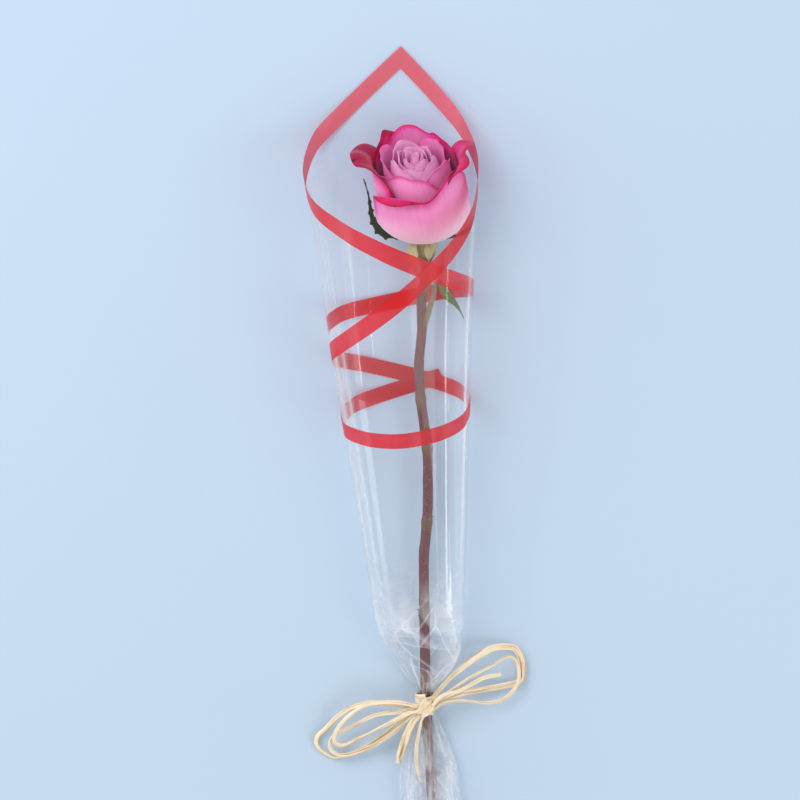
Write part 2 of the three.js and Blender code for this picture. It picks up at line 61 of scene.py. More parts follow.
ROLL_SHIFT = 1.1  # the roll's middle passes this far right of the drawing's zero
ROLL_LEAN = math.radians(3.85)
ROLL_TURNED = np.array(Matrix.Rotation(ROLL_LEAN, 3, "Z"))
ROLL_FLAT = 0.75  # the underside is pressed flat at this share of the radius
ROLL_CORNER = 0.26  # and turns up round corners this soft
TIE_REACH = 188.3  # from the point that the roll narrows to, up to the tie
TIE_HEIGHT = 7.9
NECK_HALF = 5.3
NECK_RADIUS = 4.1
GATHER = 34.0
GATHER_SKEW = 0.3  # the gathers start later on the right
TOP_DRAWN = 10.0  # at the mouth the upper film is drawn this far towards the flower
TOP_SHIFT = 4.5  # and this far right
TOP_DRAWN_LENGTH = 80.0
TAIL_FLARE = (13.3, 6.6)
TAIL_FLARE_LENGTH = 40.0
TIP_SIDE = math.radians(11.5)
TIP_REACH = 524.0
LONG_EDGE_TURN = math.radians(41)
SHEET_LONG = 500.0
SHEET_SHORT = TIP_REACH * math.sin(LONG_EDGE_TURN)

BLOOM_AT = (-0.1, 244.4, 19.47)
BLOOM_RISE = math.radians(17)
BLOOM_LEAN = math.radians(3)
BLOOM_SWAY = 4.0
BELLY_HEIGHT = 16.0
PETAL_FOOT = 6.1
FOOT_GAP = 0.3
HIP_RADIUS = 6.6
ROLL_SLOPE = 1.76 * 24.0 / (TIE_REACH + BLOOM_AT[1] + BELLY_HEIGHT)


def drawing_zero():
    """The drawing's zero in the row frame, in millimetres: on the table, under the tie."""
    low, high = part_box("raffia_band")
    middle = (low + high) / 2 / MM
    return np.array([middle.x - ROLL_SHIFT, middle.y, 0.0])


ZERO = drawing_zero()


def ease(x):
    """From 0 to 1 and level at both ends: 3x2 - 2x3."""
    x = np.clip(x, 0, 1)
    return x * x * (3 - 2 * x)


def zigzag(x):
    """A sine's rhythm with straight flanks and sharp creases, between -1 and 1."""
    return np.arcsin(np.sin(x)) * 2 / np.pi


def unit(v):
    """Vectors along the last axis, scaled to length 1."""
    return v / np.maximum(np.linalg.norm(v, axis=-1, keepdims=True), 1e-12)


# ---- meshes from arrays ----


def put_mesh(name, points, quads, uv, attributes=None):
    """A smooth mesh object from points in millimetres of the drawing, quads, a flat map and values."""
    mesh = bpy.data.meshes.new(name)
    placed = (np.asarray(points, float).reshape(-1, 3) + ZERO) * MM
    mesh.vertices.add(len(placed))
    mesh.vertices.foreach_set("co", placed.astype(np.float32).ravel())
    quads = np.asarray(quads, np.int32)
    mesh.loops.add(quads.size)
    mesh.loops.foreach_set("vertex_index", quads.ravel())
    mesh.polygons.add(len(quads))
    mesh.polygons.foreach_set("loop_start", np.arange(0, quads.size, 4, dtype=np.int32))
    mesh.update(calc_edges=True)
    layer = mesh.uv_layers.new(name="flat")
    corners = np.asarray(uv, np.float32).reshape(-1, 2)[quads.ravel()]
    layer.data.foreach_set("uv", corners.ravel())
    for key, values in (attributes or {}).items():
        attribute = mesh.attributes.new(key, "FLOAT", "POINT")
        attribute.data.foreach_set("value", np.asarray(values, np.float32).ravel())
    mesh.polygons.foreach_set("use_smooth", np.full(len(quads), True))
    mesh.validate()
    piece = bpy.data.objects.new(name, mesh)
    bpy.context.scene.collection.objects.link(piece)
    return piece


def stand_for(piece, node, finish):
    """Finishes a piece, puts it on the body and lets it stand for its CAD node."""
    piece.data.materials.append(finish)
    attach(piece, "root")
    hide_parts(node)


def grid_quads(rows, columns, ring=False):
    """Quads of a grid of points stored row by row; a ring joins its last column to its first."""
    across = columns if ring else columns - 1
    j, i = np.meshgrid(np.arange(rows - 1), np.arange(across), indexing="ij")
    right = (i + 1) % columns
    low, high = j * columns, (j + 1) * columns
    return np.stack([low + i, low + right, high + right, high + i], -1).reshape(-1, 4)


def unit_grid(rows, columns):
    """Shares from 0 to 1 up and across a grid."""
    return np.meshgrid(np.linspace(0, 1, rows), np.linspace(0, 1, columns), indexing="ij")


def grid_normals(points):
    """Unit normals of a grid of points: the cross product of its two directions."""
    along, across = np.gradient(points, axis=0), np.gradient(points, axis=1)
    return unit(np.cross(across, along))


def thin_solid(points, wall):
    """Two skins half a wall each side of a grid, joined by a rim all round. Returns points and quads."""
    rows, columns = points.shape[:2]
    offset = grid_normals(points) * wall / 2
    skins = np.concatenate([(points + offset).reshape(-1, 3), (points - offset).reshape(-1, 3)])
    face = grid_quads(rows, columns)
    count = rows * columns
    index = np.arange(count).reshape(rows, columns)
    border = np.concatenate([index[0, :-1], index[:-1, -1], index[-1, :0:-1], index[:0:-1, 0]])
    ahead = np.roll(border, -1)
    rim = np.stack([ahead, border, border + count, ahead + count], -1)
    return skins, np.concatenate([face, face[:, ::-1] + count, rim])


def both_skins(values):
    """The same values for both skins of a thin solid."""
    flat = np.asarray(values, float)
    flat = flat.reshape(-1, flat.shape[-1]) if flat.ndim == 3 else flat.reshape(-1)
    return np.concatenate([flat, flat])


def path_run(path):
    """The distance run along a path at each of its points."""
    return np.concatenate([[0], np.cumsum(np.linalg.norm(np.diff(path, axis=0), axis=1))])


def smooth_path(points, count):
    """count points, evenly spaced, on the Catmull-Rom curve through the given ones."""
    p = np.asarray(points, float)
    p = np.concatenate([[2 * p[0] - p[1]], p, [2 * p[-1] - p[-2]]])
    fine = np.linspace(0, len(p) - 3, 40 * len(p))
    k = np.minimum(fine.astype(int), len(p) - 4)
    t = (fine - k)[:, None]
    a, b, c, d = p[k], p[k + 1], p[k + 2], p[k + 3]
    square, cube = 2 * a - 5 * b + 4 * c - d, 3 * b - a - 3 * c + d
    curve = 0.5 * (2 * b + (c - a) * t + square * t**2 + cube * t**3)
    run = path_run(curve)
    even = np.linspace(0, run[-1], count)
    return np.stack([np.interp(even, run, curve[:, axis]) for axis in range(3)], -1)


def path_frames(path, side):
    """Tangent, side and face directions along a path; side is a hint that is squared to the path."""
    tangent = unit(np.gradient(path, axis=0))
    side = np.broadcast_to(np.asarray(side, float), tangent.shape)
    side = unit(side - (side * tangent).sum(-1, keepdims=True) * tangent)
    return tangent, side, np.cross(tangent, side)


def tube(path, radius, sides=32):
    """A closed round bar: rings of a radius along a path, drawn in to a point at both ends."""
    _, side, face = path_frames(path, (1.0, 0.15, 0.3))
    radius = np.asarray(radius, float)
    angle = np.linspace(0, TURN, sides, endpoint=False)
    ring = np.cos(angle)[:, None] * side[:, None] + np.sin(angle)[:, None] * face[:, None]
    rings = path[:, None] + radius[:, None, None] * ring
    ends = [np.repeat(path[k][None, None], sides, 1) for k in (0, -1)]
    rings = np.concatenate([ends[0], rings, ends[1]])
    return rings.reshape(-1, 3), grid_quads(len(rings), sides, ring=True)[:, ::-1]


def join(*solids):
    """Several (points, quads) as one."""
    points, quads, count = [], [], 0
    for p, q in solids:
        points.append(p)
        quads.append(q + count)
        count += len(p)
    return np.concatenate(points), np.concatenate(quads)


# ---- materials ----


class Finish:
    """A new material's nodes, with short ways to add and link them. In the names of the shader's inputs an
    underscore stands for a space."""

    def __init__(self, name, **surface):
        self.material = bpy.data.materials.new(name)
        self.material.use_nodes = True
        self.tree = self.material.node_tree
        self.shader = self.tree.nodes["Principled BSDF"]
        self.output = self.tree.nodes["Material Output"]
        for socket, value in surface.items():
            self.shader.inputs[socket.replace("_", " ")].default_value = value

    def add(self, kind, settings=None, **inputs):
        node = self.tree.nodes.new(kind)
        for key, value in (settings or {}).items():
            setattr(node, key, value)
        for key, value in inputs.items():
            numbered = key[0] == "i" and key[1:].isdigit()
            self.feed(node.inputs[int(key[1:]) if numbered else key], value)
        return node

    def feed(self, socket, value):
        if isinstance(value, bpy.types.NodeSocket):
            self.tree.links.new(value, socket)
        elif isinstance(value, bpy.types.Node):
            self.tree.links.new(value.outputs[0], socket)
        else:
            socket.default_value = value

    def attribute(self, name):
        return self.add("ShaderNodeAttribute", {"attribute_name": name}).outputs["Fac"]

    def math(self, operation, a, b=0.0, clamp=False):
        settings = {"operation": operation, "use_clamp": clamp}
        return self.add("ShaderNodeMath", settings, i0=a, i1=b).outputs[0]

    def times(self, a, b):
        return self.math("MULTIPLY", a, b)

    def plus(self, a, b, clamp=False):
        return self.math("ADD", a, b, clamp)

    def ramp(self, value, stops):
        node = self.add("ShaderNodeValToRGB", Fac=value)
        while len(node.color_ramp.elements) < len(stops):
            node.color_ramp.elements.new(0.5)
        for element, (at, colour) in zip(node.color_ramp.elements, stops):
            element.position = at
            element.color = (*colour, 1)
        return node.outputs["Color"]

    def mask(self, value, black, white):
        """Black where a value is at one number, white at the other and grey between, either way round."""
        return self.ramp(value, sorted([(black, (0, 0, 0)), (white, (1, 1, 1))]))

    def mix(self, share, a, b, blend="MIX"):
        node = self.add("ShaderNodeMix", {"data_type": "RGBA", "blend_type": blend})
        for socket, value in ((0, share), (6, a), (7, b)):
            plain = isinstance(value, tuple)
            self.feed(node.inputs[socket], (*value, 1) if plain and len(value) == 3 else value)
        return node.outputs[2]

    def spread(self, scale, source="UV"):
        """Texture coordinates stretched by a scale."""
        coordinates = self.add("ShaderNodeTexCoord").outputs[source]
        mapping = self.add("ShaderNodeMapping", Vector=coordinates)
        mapping.inputs["Scale"].default_value = scale
        return mapping.outputs[0]

    def noise(self, scale, detail=3.0, source="UV", rough=0.5):
        inputs = dict(Vector=self.spread(scale, source), Scale=1.0, Detail=detail, Roughness=rough)
        return self.add("ShaderNodeTexNoise", **inputs).outputs["Fac"]

    def bump(self, height, strength, distance):
        node = self.add("ShaderNodeBump", Height=height, Strength=strength, Distance=distance)
        self.tree.links.new(node.outputs[0], self.shader.inputs["Normal"])

    def base(self, colour):
        self.feed(self.shader.inputs["Base Color"], colour)


def tint(red, green, blue):
    """A colour from 0 to 255, as the light it stands for."""
    c = np.array([red, green, blue]) / 255
    return tuple(float(x) for x in np.where(c <= 0.04045, c / 12.92, ((c + 0.055) / 1.055) ** 2.4))


DRIED = tint(46, 4, 20)
COOL_WHITE = (0.95, 0.97, 1.0, 1)


def petal_finish(name, face, flush, margin, foot, edge):
    """Satin petal: a face colour that flushes to a dark margin, fine veins along it and a velvet sheen. The
    attribute "margin" carries each petal's own strength of flush, and "nick" where its rim has dried."""
    f = Finish(name, Roughness=0.52, IOR=1.4, Sheen_Weight=0.2, Sheen_Roughness=0.4,
               Specular_IOR_Level=0.35, Subsurface_Weight=0.15, Subsurface_Radius=(1.0, 0.45, 0.6),
               Subsurface_Scale=0.002)
    veins = f.noise((46.0, 2.4, 1.0), detail=4)
    cloud = f.noise((4.0, 3.0, 1.0), detail=3)
    wander = f.times(f.math("SUBTRACT", f.plus(veins, cloud), 1.0), 0.24)
    share = f.plus(f.attribute("margin"), wander, clamp=True)
    colour = f.ramp(share, [(0.0, face), (0.16, face), (0.5, flush), (0.8, margin), (1.0, edge)])
    low = f.mask(f.attribute("rise"), 0.56, 0.16)
    colour = f.mix(f.times(low, 0.85), colour, foot)
    veined = f.mix(f.times(f.mask(veins, 0.42, 0.7), 0.12), colour, flush)
    f.base(f.mix(f.attribute("nick"), veined, DRIED))
    f.bump(f.plus(veins, f.times(cloud, 0.6)), 0.3, 0.0004)
    return f.material


def green_finish(name, dark, light, worn):
    """Dull waxy green with a pale midrib and browned tips."""
    f = Finish(name, Roughness=0.55)
    veins = f.noise((30.0, 5.0, 1.0), detail=4)
    colour = f.mix(veins, dark, light)
    colour = f.mix(f.mask(f.attribute("tip"), 0.55, 1.0), colour, worn)
    f.base(colour)
    f.bump(veins, 0.4, 0.0004)
    return f.material


def stem_finish(bark, bark_light, green, cream):
    """Brown-red bark with long streaks and pores, greener at its nodes and creamy green at the top."""
    f = Finish("stem_bark", Roughness=0.5)
    streaks = f.noise((14.0, 40.0, 1.0), detail=5)
    pores = f.noise((900.0, 300.0, 900.0), detail=1, source="Object")
    colour = f.mix(f.mask(streaks, 0.35, 0.65), bark, bark_light)
    colour = f.mix(f.times(f.attribute("green"), 0.6), colour, green)
    colour = f.mix(f.attribute("cream"), colour, cream)
    spots = f.mask(pores, 0.62, 0.7)
    f.base(f.mix(f.times(spots, 0.12), colour, cream))
    f.bump(f.plus(streaks, pores), 0.4, 0.0003)
    return f.material


def raffia_finish(name, pale, tan):
    """Dry fibre: streaks that run along the strand, in pale and tan, with the palest fibres near white,
    partly their own tone and partly a painted highlight, and a rough split surface.
    """
    f = Finish(name, Roughness=0.6, Sheen_Weight=0.15)
    fibres = f.noise((4.5, 1.1, 1.0), detail=5, rough=0.6)
    patches = f.noise((1.0, 3.0, 1.0), detail=2)
    share = f.plus(f.times(fibres, 0.85), f.times(patches, 0.35))
    # the near-white top stop is partly the fibres' own tone and partly a painted highlight
    f.base(f.ramp(share, [(0.46, tan), (0.56, pale), (0.7, tint(255, 244, 220))]))
    f.bump(fibres, 0.7, 0.0006)
    return f.material


FILM_MIRROR = 0.62  # how much the film mirrors edge on
FILM_SHINE = 0.014  # and face on
FILM_HAZE = 0.006
CREASE_HIGHLIGHT = 0.3  # how white its crumples are painted, a painted highlight
FOLD_HIGHLIGHT = 0.62  # and its sharp folds and lines down the sleeve, a painted highlight too
INK_COVER = 0.62  # how much of the light the ink stops


def film_finish(stripe_width, ink_colour, ink_light, ink_reflected):
    """Clear glossy film that mirrors only at a glancing angle, with painted white highlights on its crumples,
    along its sharpest folds and down the sleeve, and a red border printed along the two edges that meet at
    the tip, painted paler near the tip as a painted reflection. The flat map holds the distances from those
    edges. How glancing a ray is counts the same on both faces, because the film is so thin."""
    f = Finish("clear_film")
    f.tree.nodes.remove(f.shader)
    flat = f.add("ShaderNodeTexCoord").outputs["UV"]
    apart = f.add("ShaderNodeSeparateXYZ", Vector=flat)
    near = f.math("MINIMUM", apart.outputs[0], apart.outputs[1])
    stripe = f.math("LESS_THAN", near, stripe_width)
    glancing = f.add("ShaderNodeLayerWeight", Blend=0.5).outputs["Facing"]
    mirror = f.times(f.math("POWER", glancing, 4.0), FILM_MIRROR)
    shine = f.plus(mirror, FILM_SHINE, clamp=True)
    see_through = f.add("ShaderNodeBsdfTransparent", Color=(1, 1, 1, 1))
    gloss = f.add("ShaderNodeBsdfGlossy", Roughness=0.05, Color=(1, 1, 1, 1))
    crumple = f.noise((160.0, 60.0, 1.0), detail=4, rough=0.55)
    creased = f.attribute("crease")
    height = f.times(crumple, creased)
    dent = f.add("ShaderNodeBump", Height=height, Strength=0.5, Distance=0.001)
    f.tree.links.new(dent.outputs[0], gloss.inputs["Normal"])
    plain = f.add("ShaderNodeMixShader", i0=shine, i1=see_through.outputs[0], i2=gloss.outputs[0])
    white = f.add("ShaderNodeBsdfDiffuse", Color=COOL_WHITE)
    wide = f.spread((44.0, 18.0, 1.0))
    lines = f.add("ShaderNodeTexVoronoi", {"feature": "DISTANCE_TO_EDGE"}, Vector=wide, Scale=1.0)
    # painted highlights: a net of white lines and white patches on the crumples, in place of their
    # reflections
    painted_glint = f.mask(lines.outputs["Distance"], 0.02, 0.0)
    highlight_patch = f.mask(f.noise((34.0, 16.0, 1.0), detail=2), 0.57, 0.61)
    crumpled = f.times(creased, f.plus(f.times(painted_glint, CREASE_HIGHLIGHT), f.times(highlight_patch, CREASE_HIGHLIGHT)))
    # painted highlight along the sharp folds and the lines down the sleeve, with an even faint haze
    fold_highlight_and_haze = f.plus(f.times(f.attribute("fold_highlight"), FOLD_HIGHLIGHT), FILM_HAZE)
    painted_highlight_and_haze = f.plus(crumpled, fold_highlight_and_haze, clamp=True)
    clear = f.add("ShaderNodeMixShader", i0=painted_highlight_and_haze, i1=plain.outputs[0], i2=white.outputs[0])
    ink = f.add("ShaderNodeBsdfPrincipled", Roughness=0.3)
    tip = f.math("MAXIMUM", apart.outputs[0], apart.outputs[1])
    # painted reflection: the ink turns paler near the tip
    tip_reflection = f.mask(f.times(tip, 5.0), 0.46, 0.36)
    colour = f.mix(f.noise((30.0, 30.0, 1.0), detail=2), ink_colour, ink_light)
    f.feed(ink.inputs["Base Color"], f.mix(tip_reflection, colour, ink_reflected))
    stain = f.add("ShaderNodeBsdfTransparent", Color=(1.0, 0.2, 0.24, 1))
    printed = f.add("ShaderNodeMixShader", i0=INK_COVER, i1=stain.outputs[0], i2=ink.outputs[0])
    whole = f.add("ShaderNodeMixShader", i0=stripe, i1=clear.outputs[0], i2=printed.outputs[0])
    f.tree.links.new(whole.outputs[0], f.output.inputs["Surface"])
    return f.material


# ---- the bloom ----
# Azimuth 0 is the side of the flower that faces up from the table, and 90 degrees is its right.

# CAD node: azimuth, half spread, height at the roll, roll, radius of the roll, point of the rim, then the
# strength of its flush and how much of its rim has dried
GUARD_PETALS = {
    "guard_petal_front": (7, 80, 32.0, 150, 3.0, -0.12, 0.95, 0.5),
    "guard_petal_right": (88, 50, 38.0, 105, 6.5, 0.05, 0.95, 0.0),
    "guard_petal_left": (-88, 54, 39.0, 105, 6.5, 0.04, 1.5, 1.0),
    "guard_petal_back_right": (150, 50, 41.0, 40, 4.0, 0.04, 0.8, 0.0),
    "guard_petal_back_left": (-142, 52, 43.0, 60, 4.0, 0.04, 1.5, 0.3),
    "second_petal_front": (-24, 60, 38.0, 70, 3.5, 0.02, 0.5, 0.0),
    "second_petal_back": (176, 62, 47.0, 30, 5.0, 0.05, 0.8, 0.0),
    "second_petal_right": (62, 58, 40.0, 45, 4.0, 0.03, 0.4, 0.0),
    "second_petal_left": (-98, 58, 43.0, 40, 4.0, 0.03, 0.42, 0.0),
    "second_petal_back_right": (122, 60, 45.0, 30, 4.0, 0.04, 0.45, 0.0),
}
INNER_FLUSH = 0.42
INNER_PETALS = (("third_petal", 5, 78), ("inner_petal", 5, 96), ("heart_petal", 3, 118))
GOLDEN_TURN = 137.5
PETAL_WALL = 0.4
ROLL_START = 0.8  # a petal rolls out above this share of its height
DOME_HEIGHT = 42.5
LOPSIDED = 0.26  # of the front guard petal, the only one


def bloom_matrix():
    """From the flower's own frame to the drawing: stood up, tipped back to its rise and leant left."""
    turned = Matrix.Rotation(BLOOM_LEAN, 4, "Z") @ Matrix.Rotation(BLOOM_RISE - math.pi / 2, 4, "X")
    return np.array(Matrix.Translation(Vector(BLOOM_AT)) @ turned)


def from_bloom(points):
    """Points of the flower's frame, in the drawing."""
    m = bloom_matrix()
    return points @ m[:3, :3].T + m[:3, 3]


def bloom_sway(height):
    """How far the flower has bent to its left at a height: with the height's square."""
    return BLOOM_SWAY * (height / 50) ** 2


def petal_surface(azimuth, shell, spread, height, roll, curl, point, close, flush, dried, lopsided, outer,
                  seed, rows=52, columns=72):
    """A petal: up from its foot the cup widens to its shell like a superellipse, then closes a little; the
    last fifth rolls outwards round a small radius. Each column is shorter towards the petal's sides, and
    the rim is waved. A lopsided petal stands higher and rolls less on its right. Returns the grid and, for
    each point, its height share, its flush and its nicks."""
    v, u = unit_grid(rows, columns)
    across = 1 - 2 * u
    rng = np.random.default_rng(seed)
    phase = rng.uniform(0, TURN, 3)
    high_side = ease(across * 1.6)
    column = height * (1 - 0.2 * np.abs(across) ** 2.6 + point * np.exp(-((across / 0.22) ** 2)))
    column = column * (1 + lopsided * high_side - 0.3 * lopsided * ease(-across * 1.6))
    column = column * (1 + 0.02 * np.sin(4 * across + phase[0]) + 0.009 * np.sin(11 * across + phase[1]))
    z = column * np.minimum(1, v / ROLL_START)

    def cup(at):
        low = 1 - np.minimum(1, at / BELLY_HEIGHT)
        foot = 0.9 + (PETAL_FOOT - 0.9) * shell / outer
        bulge = np.sqrt(np.maximum(0, 1 - np.maximum(low, 0) ** 2.2))
        above = np.maximum(0, at - BELLY_HEIGHT) / max(1, height - BELLY_HEIGHT)
        return foot + (shell - foot) * bulge - close * above**2

    radius, lift = cup(z), FOOT_GAP + z
    lean = np.arctan2(cup(z) - cup(z - 0.01), 0.01)
    uneven = 1 + 0.22 * np.sin(3.4 * across + phase[2]) + 0.1 * np.sin(8.1 * across + phase[0])
    rolled = roll * uneven * (1 - 2.4 * lopsided * high_side) * (1 - across**4)
    rolled = rolled * np.clip((v - ROLL_START) / (1 - ROLL_START), 0, 1)
    radius = radius + curl * (np.cos(lean) - np.cos(lean + rolled))
    lift = lift + curl * (np.sin(lean + rolled) - np.sin(lean))
    wave = np.maximum(0, v - 0.6) / 0.4
    radius = radius + wave**2 * (0.3 * np.sin(8 * across + phase[2]) + 0.14 * np.sin(19 * across + phase[1]))
    angle = azimuth + across * spread * (0.3 + 0.7 * ease(z / (0.45 * height)))
    points = np.stack([radius * np.sin(angle) - bloom_sway(lift), -radius * np.cos(angle), lift], -1)
    side = np.abs(across) ** 5
    rim = np.clip((v - 0.55) / 0.45, 0, 1)
    margin = flush * np.maximum(rim**1.5, side * np.clip(v * 1.6 - 0.35, 0, 1))
    nicks = np.sin(21 * across + phase[0]) + np.sin(34 * across + phase[1])
    nick = dried * ease((v - 0.93) / 0.07) * ease((nicks - 1.0) / 0.5)
    return from_bloom(points), v, margin, nick


def all_petals(outer_shell, inner_shell):
    """Every petal's settings by CAD node: the shells step in evenly, and the inner ones turn by the
    golden angle. The inner rims follow the flower's dome."""
    total = len(GUARD_PETALS) + sum(many for _, many, _ in INNER_PETALS)
    shells = outer_shell + (inner_shell - outer_shell) * np.arange(total) / (total - 1)
    petals = {}
    for shell, (name, values) in zip(shells, GUARD_PETALS.items()):
        azimuth, spread, height, roll, curl, point, flush, dried = values
        petals[name] = dict(azimuth=azimuth, shell=shell, spread=spread, height=height, roll=roll, curl=curl,
                            point=point, flush=flush, dried=dried, close=0.6,
                            lopsided=LOPSIDED if name == "guard_petal_front" else 0.0)
    for name, many, spread in INNER_PETALS:
        for i in range(many):
            count = len(petals)
            shell = shells[count]
            azimuth = count * GOLDEN_TURN
            petals[f"{name}_{i + 1}"] = dict(
                azimuth=azimuth, shell=shell, spread=spread,
                height=DOME_HEIGHT - 0.26 * shell * math.cos(math.radians(azimuth)), roll=24, curl=3.0,
                point=0.03, flush=INNER_FLUSH, dried=0.0, lopsided=0.0, close=0.2 * shell)
    return petals


def make_petal(name, petal, outer, finish, slot):
    """One petal as a thin closed solid that stands for its CAD node."""
    settings = dict(petal)
    for key in ("azimuth", "spread", "roll"):
        settings[key] = math.radians(settings[key])
    grid, rise, margin, nick = petal_surface(**settings, outer=outer, seed=sum(map(ord, name)))
    grid = grid[:, ::-1]
    points, quads = thin_solid(grid, PETAL_WALL)
    v, u = unit_grid(*grid.shape[:2])
    piece = put_mesh(name + "_satin", points, quads, both_skins(np.stack([u, v], -1)),
                     {"margin": both_skins(margin), "rise": both_skins(rise), "nick": both_skins(nick)})
    stand_for(piece, name, finish)


# ---- the film ----


def roll_section(side):
    """The roll's section for a radius of 1, with a flat underside that turns up round soft corners."""
    return np.sin(side), soft_floor(-np.cos(side), -ROLL_FLAT, ROLL_CORNER)


def soft_floor(a, b, corner):
    """The larger of two heights, with a rounded corner where they meet: (a + b + root((a - b)2 + c2)) / 2."""
    return (a + b + np.sqrt((a - b) ** 2 + corner**2)) / 2


def slant(side):
    """Distance down the slope for a distance down the middle."""
    x, z = roll_section(side)
    return np.sqrt(1 + (ROLL_SLOPE * x) ** 2 + (ROLL_SLOPE * (z + ROLL_FLAT)) ** 2)


def flat_angle_table(steps=2880):
    """Sides round the roll, and the flat sheet's own angle at each: the sum of the turns between slopes."""
    side = np.linspace(0, TURN, steps + 1)
    x, z = roll_section(side)
    down = unit(np.stack([ROLL_SLOPE * x, np.ones_like(x), ROLL_SLOPE * (z + ROLL_FLAT)], -1))
    turns = np.linalg.norm(np.diff(down, axis=0), axis=1)
    return side, np.concatenate([[0], np.cumsum(turns)])


SIDE_TABLE, ANGLE_TABLE = flat_angle_table()
FLAT_TURN = ANGLE_TABLE[-1]


def side_of(angle):
    """The side of the roll that a flat angle, counted from the tip, comes to lie on."""
    total = angle + np.interp(TIP_SIDE, SIDE_TABLE, ANGLE_TABLE)
    wraps = np.floor(total / FLAT_TURN)
    return np.interp(total - wraps * FLAT_TURN, ANGLE_TABLE, SIDE_TABLE) + wraps * TURN


SHORT_EDGE_TURN = math.pi / 2 - LONG_EDGE_TURN
ALONG_LONG = np.array([math.sin(LONG_EDGE_TURN), -math.cos(LONG_EDGE_TURN)])
ALONG_SHORT = np.array([-math.sin(SHORT_EDGE_TURN), -math.cos(SHORT_EDGE_TURN)])
FLAT_TIP = np.array([0.0, TIP_REACH])


def cross2(a, b):
    """The cross product of flat vectors, a number."""
    return a[..., 0] * b[..., 1] - a[..., 1] * b[..., 0]


def sheet_top(angle):
    """How far from the roll's point the sheet reaches at a flat angle: to its short edge left of the tip,
    its long edge right of it and, past the corner, its far edge."""
    way = np.stack([np.sin(angle), np.cos(angle)], -1)
    corner = FLAT_TIP + SHEET_LONG * ALONG_LONG
    to_short = cross2(FLAT_TIP, ALONG_SHORT) / cross2(way, ALONG_SHORT)
    to_long = cross2(FLAT_TIP, ALONG_LONG) / cross2(way, ALONG_LONG)
    to_far = cross2(corner, ALONG_SHORT) / cross2(way, ALONG_SHORT)
    corner_angle = math.atan2(corner[0], corner[1])
    return np.where(angle < 0, to_short, np.where(angle < corner_angle, to_long, to_far))


def tail_cut(angle):
    """How far from the roll's point the tail is trimmed: an uneven cut."""
    return 124 + 7 * np.sin(3.1 * angle + 1) + 4 * zigzag(17 * angle)


def film_radii(reach, side):
    """Half width, half height and middle height of the sleeve at a distance from its point. It opens
    from the neck like a quarter of a sine, later on the right than on the left."""
    past = np.abs(reach - TIE_REACH) - NECK_HALF
    wide = ROLL_SLOPE * reach
    gathered = np.sin(np.pi / 2 * np.clip(past / (GATHER * (1 - GATHER_SKEW * np.sin(side))), 0, 1))
    flared = np.sin(np.pi / 2 * np.clip(past / TAIL_FLARE_LENGTH, 0, 1))
    above = reach > TIE_REACH
    out = np.where(above, NECK_RADIUS + (wide - NECK_RADIUS) * gathered,
                   NECK_RADIUS + (TAIL_FLARE[0] - NECK_RADIUS) * flared)
    high = np.where(above, out, NECK_RADIUS + (TAIL_FLARE[1] - NECK_RADIUS) * flared)
    middle = np.where(above, TIE_HEIGHT + (ROLL_FLAT * wide - TIE_HEIGHT) * gathered,
                      TIE_HEIGHT + (TAIL_FLARE[1] - TIE_HEIGHT) * flared)
    return out, high, middle, past


# how close the film's rows lie at distances from the roll's point: closest at the tie and its gathers
ROW_PLACES = (0, 110, 183, 184, 228, 250, 560)
ROW_CLOSENESS = (0.6, 0.6, 0.7, 1.4, 1.2, 0.25, 0.16)
TIP_COLUMNS = 0.28  # share of the film's columns that lie left of its tip
INNER_EDGE = 130.0  # the sheet's far edge starts this far from the roll's point

# painted highlights down the sleeve, white lines in place of the lamps' reflections: side of the roll, width
# and strength
PAINTED_HIGHLIGHT_LINES = ((TURN - 1.02, 0.05, 0.8), (TURN - 1.3, 0.1, 1.0), (1.2, 0.04, 0.6), (1.95, 0.05, 0.7))


def film_columns(count):
    """The flat angle of each column, from the sheet's short edge past its tip to its far edge."""
    first = -math.asin(SHEET_SHORT / TIP_REACH)
    nearest = abs(cross2(FLAT_TIP + SHEET_LONG * ALONG_LONG, ALONG_SHORT))
    last = math.pi - LONG_EDGE_TURN - math.acos(nearest / INNER_EDGE)
    left = int(count * TIP_COLUMNS)
    return np.concatenate([np.linspace(first, 0, left), np.linspace(0, last, count - left + 1)[1:]])


def film_rows(top, cut, count):
    """Distances from the roll's point, from each column's top to its cut, closest at the gathers."""
    place = np.arange(ROW_PLACES[-1])
    warp = np.cumsum(np.interp(place, ROW_PLACES, ROW_CLOSENESS))
    share = np.linspace(0, 1, count)[:, None]
    at = np.interp(top, place, warp) * (1 - share) + np.interp(cut, place, warp) * share
    return np.interp(at, warp, place)


def film_folds(side, along, above, past):
    """How far the film stands out: sharp pleats, deepest in the gathers and the tail, and shallow facets
    up the sleeve."""
    pleat = 0.5 * zigzag(5 * side + 0.7 + 0.012 * along)
    pleat = pleat + 0.42 * zigzag(8 * side + 1.7 * np.sin(2 * side) + 0.05 * along)
    pleat = pleat + 0.24 * zigzag(17 * side + 2.1 * np.sin(side) - 0.06 * along)
    gathered = np.clip(past / GATHER, 0, 1.6)
    swell = np.sin(np.pi * np.clip(gathered / 1.25, 0, 1)) ** 1.2 * (gathered > 0)
    deep = np.where(above, 0.4 + 1.3 * swell, 0.4 + 1.2 * np.clip(past / 22, 0, 1))
    deep = np.where(above & (gathered > 1.25), 0, deep)
    smooth = ease(gathered / 1.2 - 0.15) * above
    facet = 0.45 * (1 + zigzag(6 * side + 0.4)) + 0.25 * (1 + zigzag(11 * side + 1.9 + 0.006 * along))
    return pleat * deep + facet * smooth * 0.8


def paint_highlight_lines(side, reach):
    """How white the film is painted along its highlight lines, painted highlights that fade out towards the
    tie.
    """
    side = np.mod(side, TURN)
    lines = sum(share * np.exp(-(((side - at) / wide) ** 2)) for at, wide, share in PAINTED_HIGHLIGHT_LINES)
    return lines * (0.75 + 0.25 * np.sin(0.02 * reach + 2)) * np.clip((reach - TIE_REACH - 20) / 150, 0, 1)


